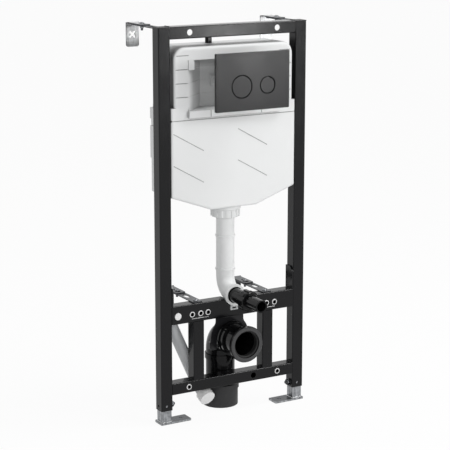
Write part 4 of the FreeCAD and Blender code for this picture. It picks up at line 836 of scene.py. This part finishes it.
class TOILET_FRAME_OT_stage(bpy.types.Operator):
    """Set up the white floor, the soft light and the camera"""
    bl_idname = "toilet_frame.stage"
    bl_label = "Stage"

    def execute(self, context):
        stage = context.scene.toilet_frame_stage
        context.scene.view_settings.view_transform = "Standard"
        self.lay_floor()
        self.light_room(context.scene, stage)
        self.hang_lamps(stage)
        camera = bpy.data.cameras.new("Camera")
        camera.lens = stage.lens
        camera.sensor_width = SENSOR_WIDTH
        camera.clip_end = VIEW_END
        stand = bpy.data.objects.new("Camera", camera)
        stand.location = stage.place
        stand.rotation_euler = (math.pi / 2 - stage.pitch, 0.0, -stage.yaw)
        context.scene.collection.objects.link(stand)
        context.scene.camera = stand
        return {"FINISHED"}

    def white_for_the_eye(self, tree):
        """One where the camera, a gloss or a clear surface looks, and nought for other light."""
        path = add_node(tree, "ShaderNodeLightPath")
        first = add_node(tree, "ShaderNodeMath", None, {0: path.outputs["Is Camera Ray"],
                                                        1: path.outputs["Is Glossy Ray"]},
                         operation="MAXIMUM").outputs[0]
        return add_node(tree, "ShaderNodeMath", None,
                        {0: first, 1: path.outputs["Is Transmission Ray"]},
                        operation="MAXIMUM").outputs[0]

    def lay_floor(self):
        shape = bmesh.new()
        bmesh.ops.create_grid(shape, x_segments=2, y_segments=2, size=FLOOR_HALF)
        mesh = bpy.data.meshes.new("floor")
        shape.to_mesh(mesh)
        shape.free()
        floor = bpy.data.objects.new("floor", mesh)
        floor.location = FLOOR_PLACE
        bpy.context.scene.collection.objects.link(floor)
        finish, tree, output = new_finish("White floor")
        seen = self.white_for_the_eye(tree)
        matt = add_node(tree, "ShaderNodeBsdfDiffuse", {"Color": linear(FLOOR_COLOUR)})
        glow = add_node(tree, "ShaderNodeEmission", {"Color": WHITE, "Strength": 1.0})
        share = add_node(tree, "ShaderNodeMath", {1: FLOOR_GLOW}, {0: seen}, operation="MULTIPLY")
        mixed = add_node(tree, "ShaderNodeMixShader", None,
                         {0: share.outputs[0], 1: matt.outputs[0], 2: glow.outputs[0]})
        tree.links.new(mixed.outputs[0], output.inputs["Surface"])
        mesh.materials.append(finish)

    def light_room(self, scene, stage):
        scene.world = bpy.data.worlds.new("Room")
        scene.world.use_nodes = True
        tree = scene.world.node_tree
        tree.nodes.clear()
        strength = spread(tree, self.white_for_the_eye(tree), 0.0, 1.0, stage.room, 1.0)
        glow = add_node(tree, "ShaderNodeBackground", {"Color": WHITE}, {"Strength": strength})
        output = add_node(tree, "ShaderNodeOutputWorld")
        tree.links.new(glow.outputs[0], output.inputs["Surface"])

    def hang_lamps(self, stage):
        for name, place, size, share in LAMPS:
            lamp = bpy.data.lights.new(name, "AREA")
            lamp.shape = "RECTANGLE"
            lamp.size, lamp.size_y = size
            lamp.energy = stage.key * share
            holder = bpy.data.objects.new(name, lamp)
            holder.location = place
            aim = Vector(LAMP_TARGET) - Vector(place)
            holder.rotation_euler = aim.to_track_quat("-Z", "Y").to_euler()
            bpy.context.scene.collection.objects.link(holder)


OPERATORS = (
    TOILET_FRAME_OT_steel_frame,
    TOILET_FRAME_OT_feet_and_brackets,
    TOILET_FRAME_OT_bushings,
    TOILET_FRAME_OT_cistern,
    TOILET_FRAME_OT_flush_plate,
    TOILET_FRAME_OT_flush_pipe,
    TOILET_FRAME_OT_waste,
    TOILET_FRAME_OT_conduit,
    TOILET_FRAME_OT_stage,
)
GROUPS = {
    "toilet_frame_colours": ToiletFrameColours,
    "toilet_frame_sizes": ToiletFrameSizes,
    "toilet_frame_stage": ToiletFrameStage,
}


class TOILET_FRAME_PT_panel(bpy.types.Panel):
    """The toilet frame's pieces, finishes and stage"""
    bl_idname = "TOILET_FRAME_PT_panel"
    bl_label = "Toilet frame"
    bl_space_type = "VIEW_3D"
    bl_region_type = "UI"
    bl_category = "Toilet frame"

    def draw(self, context):
        for group in GROUPS:
            column = self.layout.column()
            for name in GROUPS[group].__annotations__:
                column.prop(getattr(context.scene, group), name)
        for operator in OPERATORS:
            self.layout.operator(operator.bl_idname)


def register():
    for item in (*GROUPS.values(), *OPERATORS, TOILET_FRAME_PT_panel):
        bpy.utils.register_class(item)
    for name, group in GROUPS.items():
        setattr(bpy.types.Scene, name, bpy.props.PointerProperty(type=group))


def unregister():
    for name in GROUPS:
        delattr(bpy.types.Scene, name)
    for item in (TOILET_FRAME_PT_panel, *reversed(OPERATORS), *GROUPS.values()):
        bpy.utils.unregister_class(item)


def main():
    register()
    for operator in OPERATORS:
        family, name = operator.bl_idname.split(".")
        getattr(getattr(bpy.ops, family), name)()


if __name__ == "__main__":
    main()
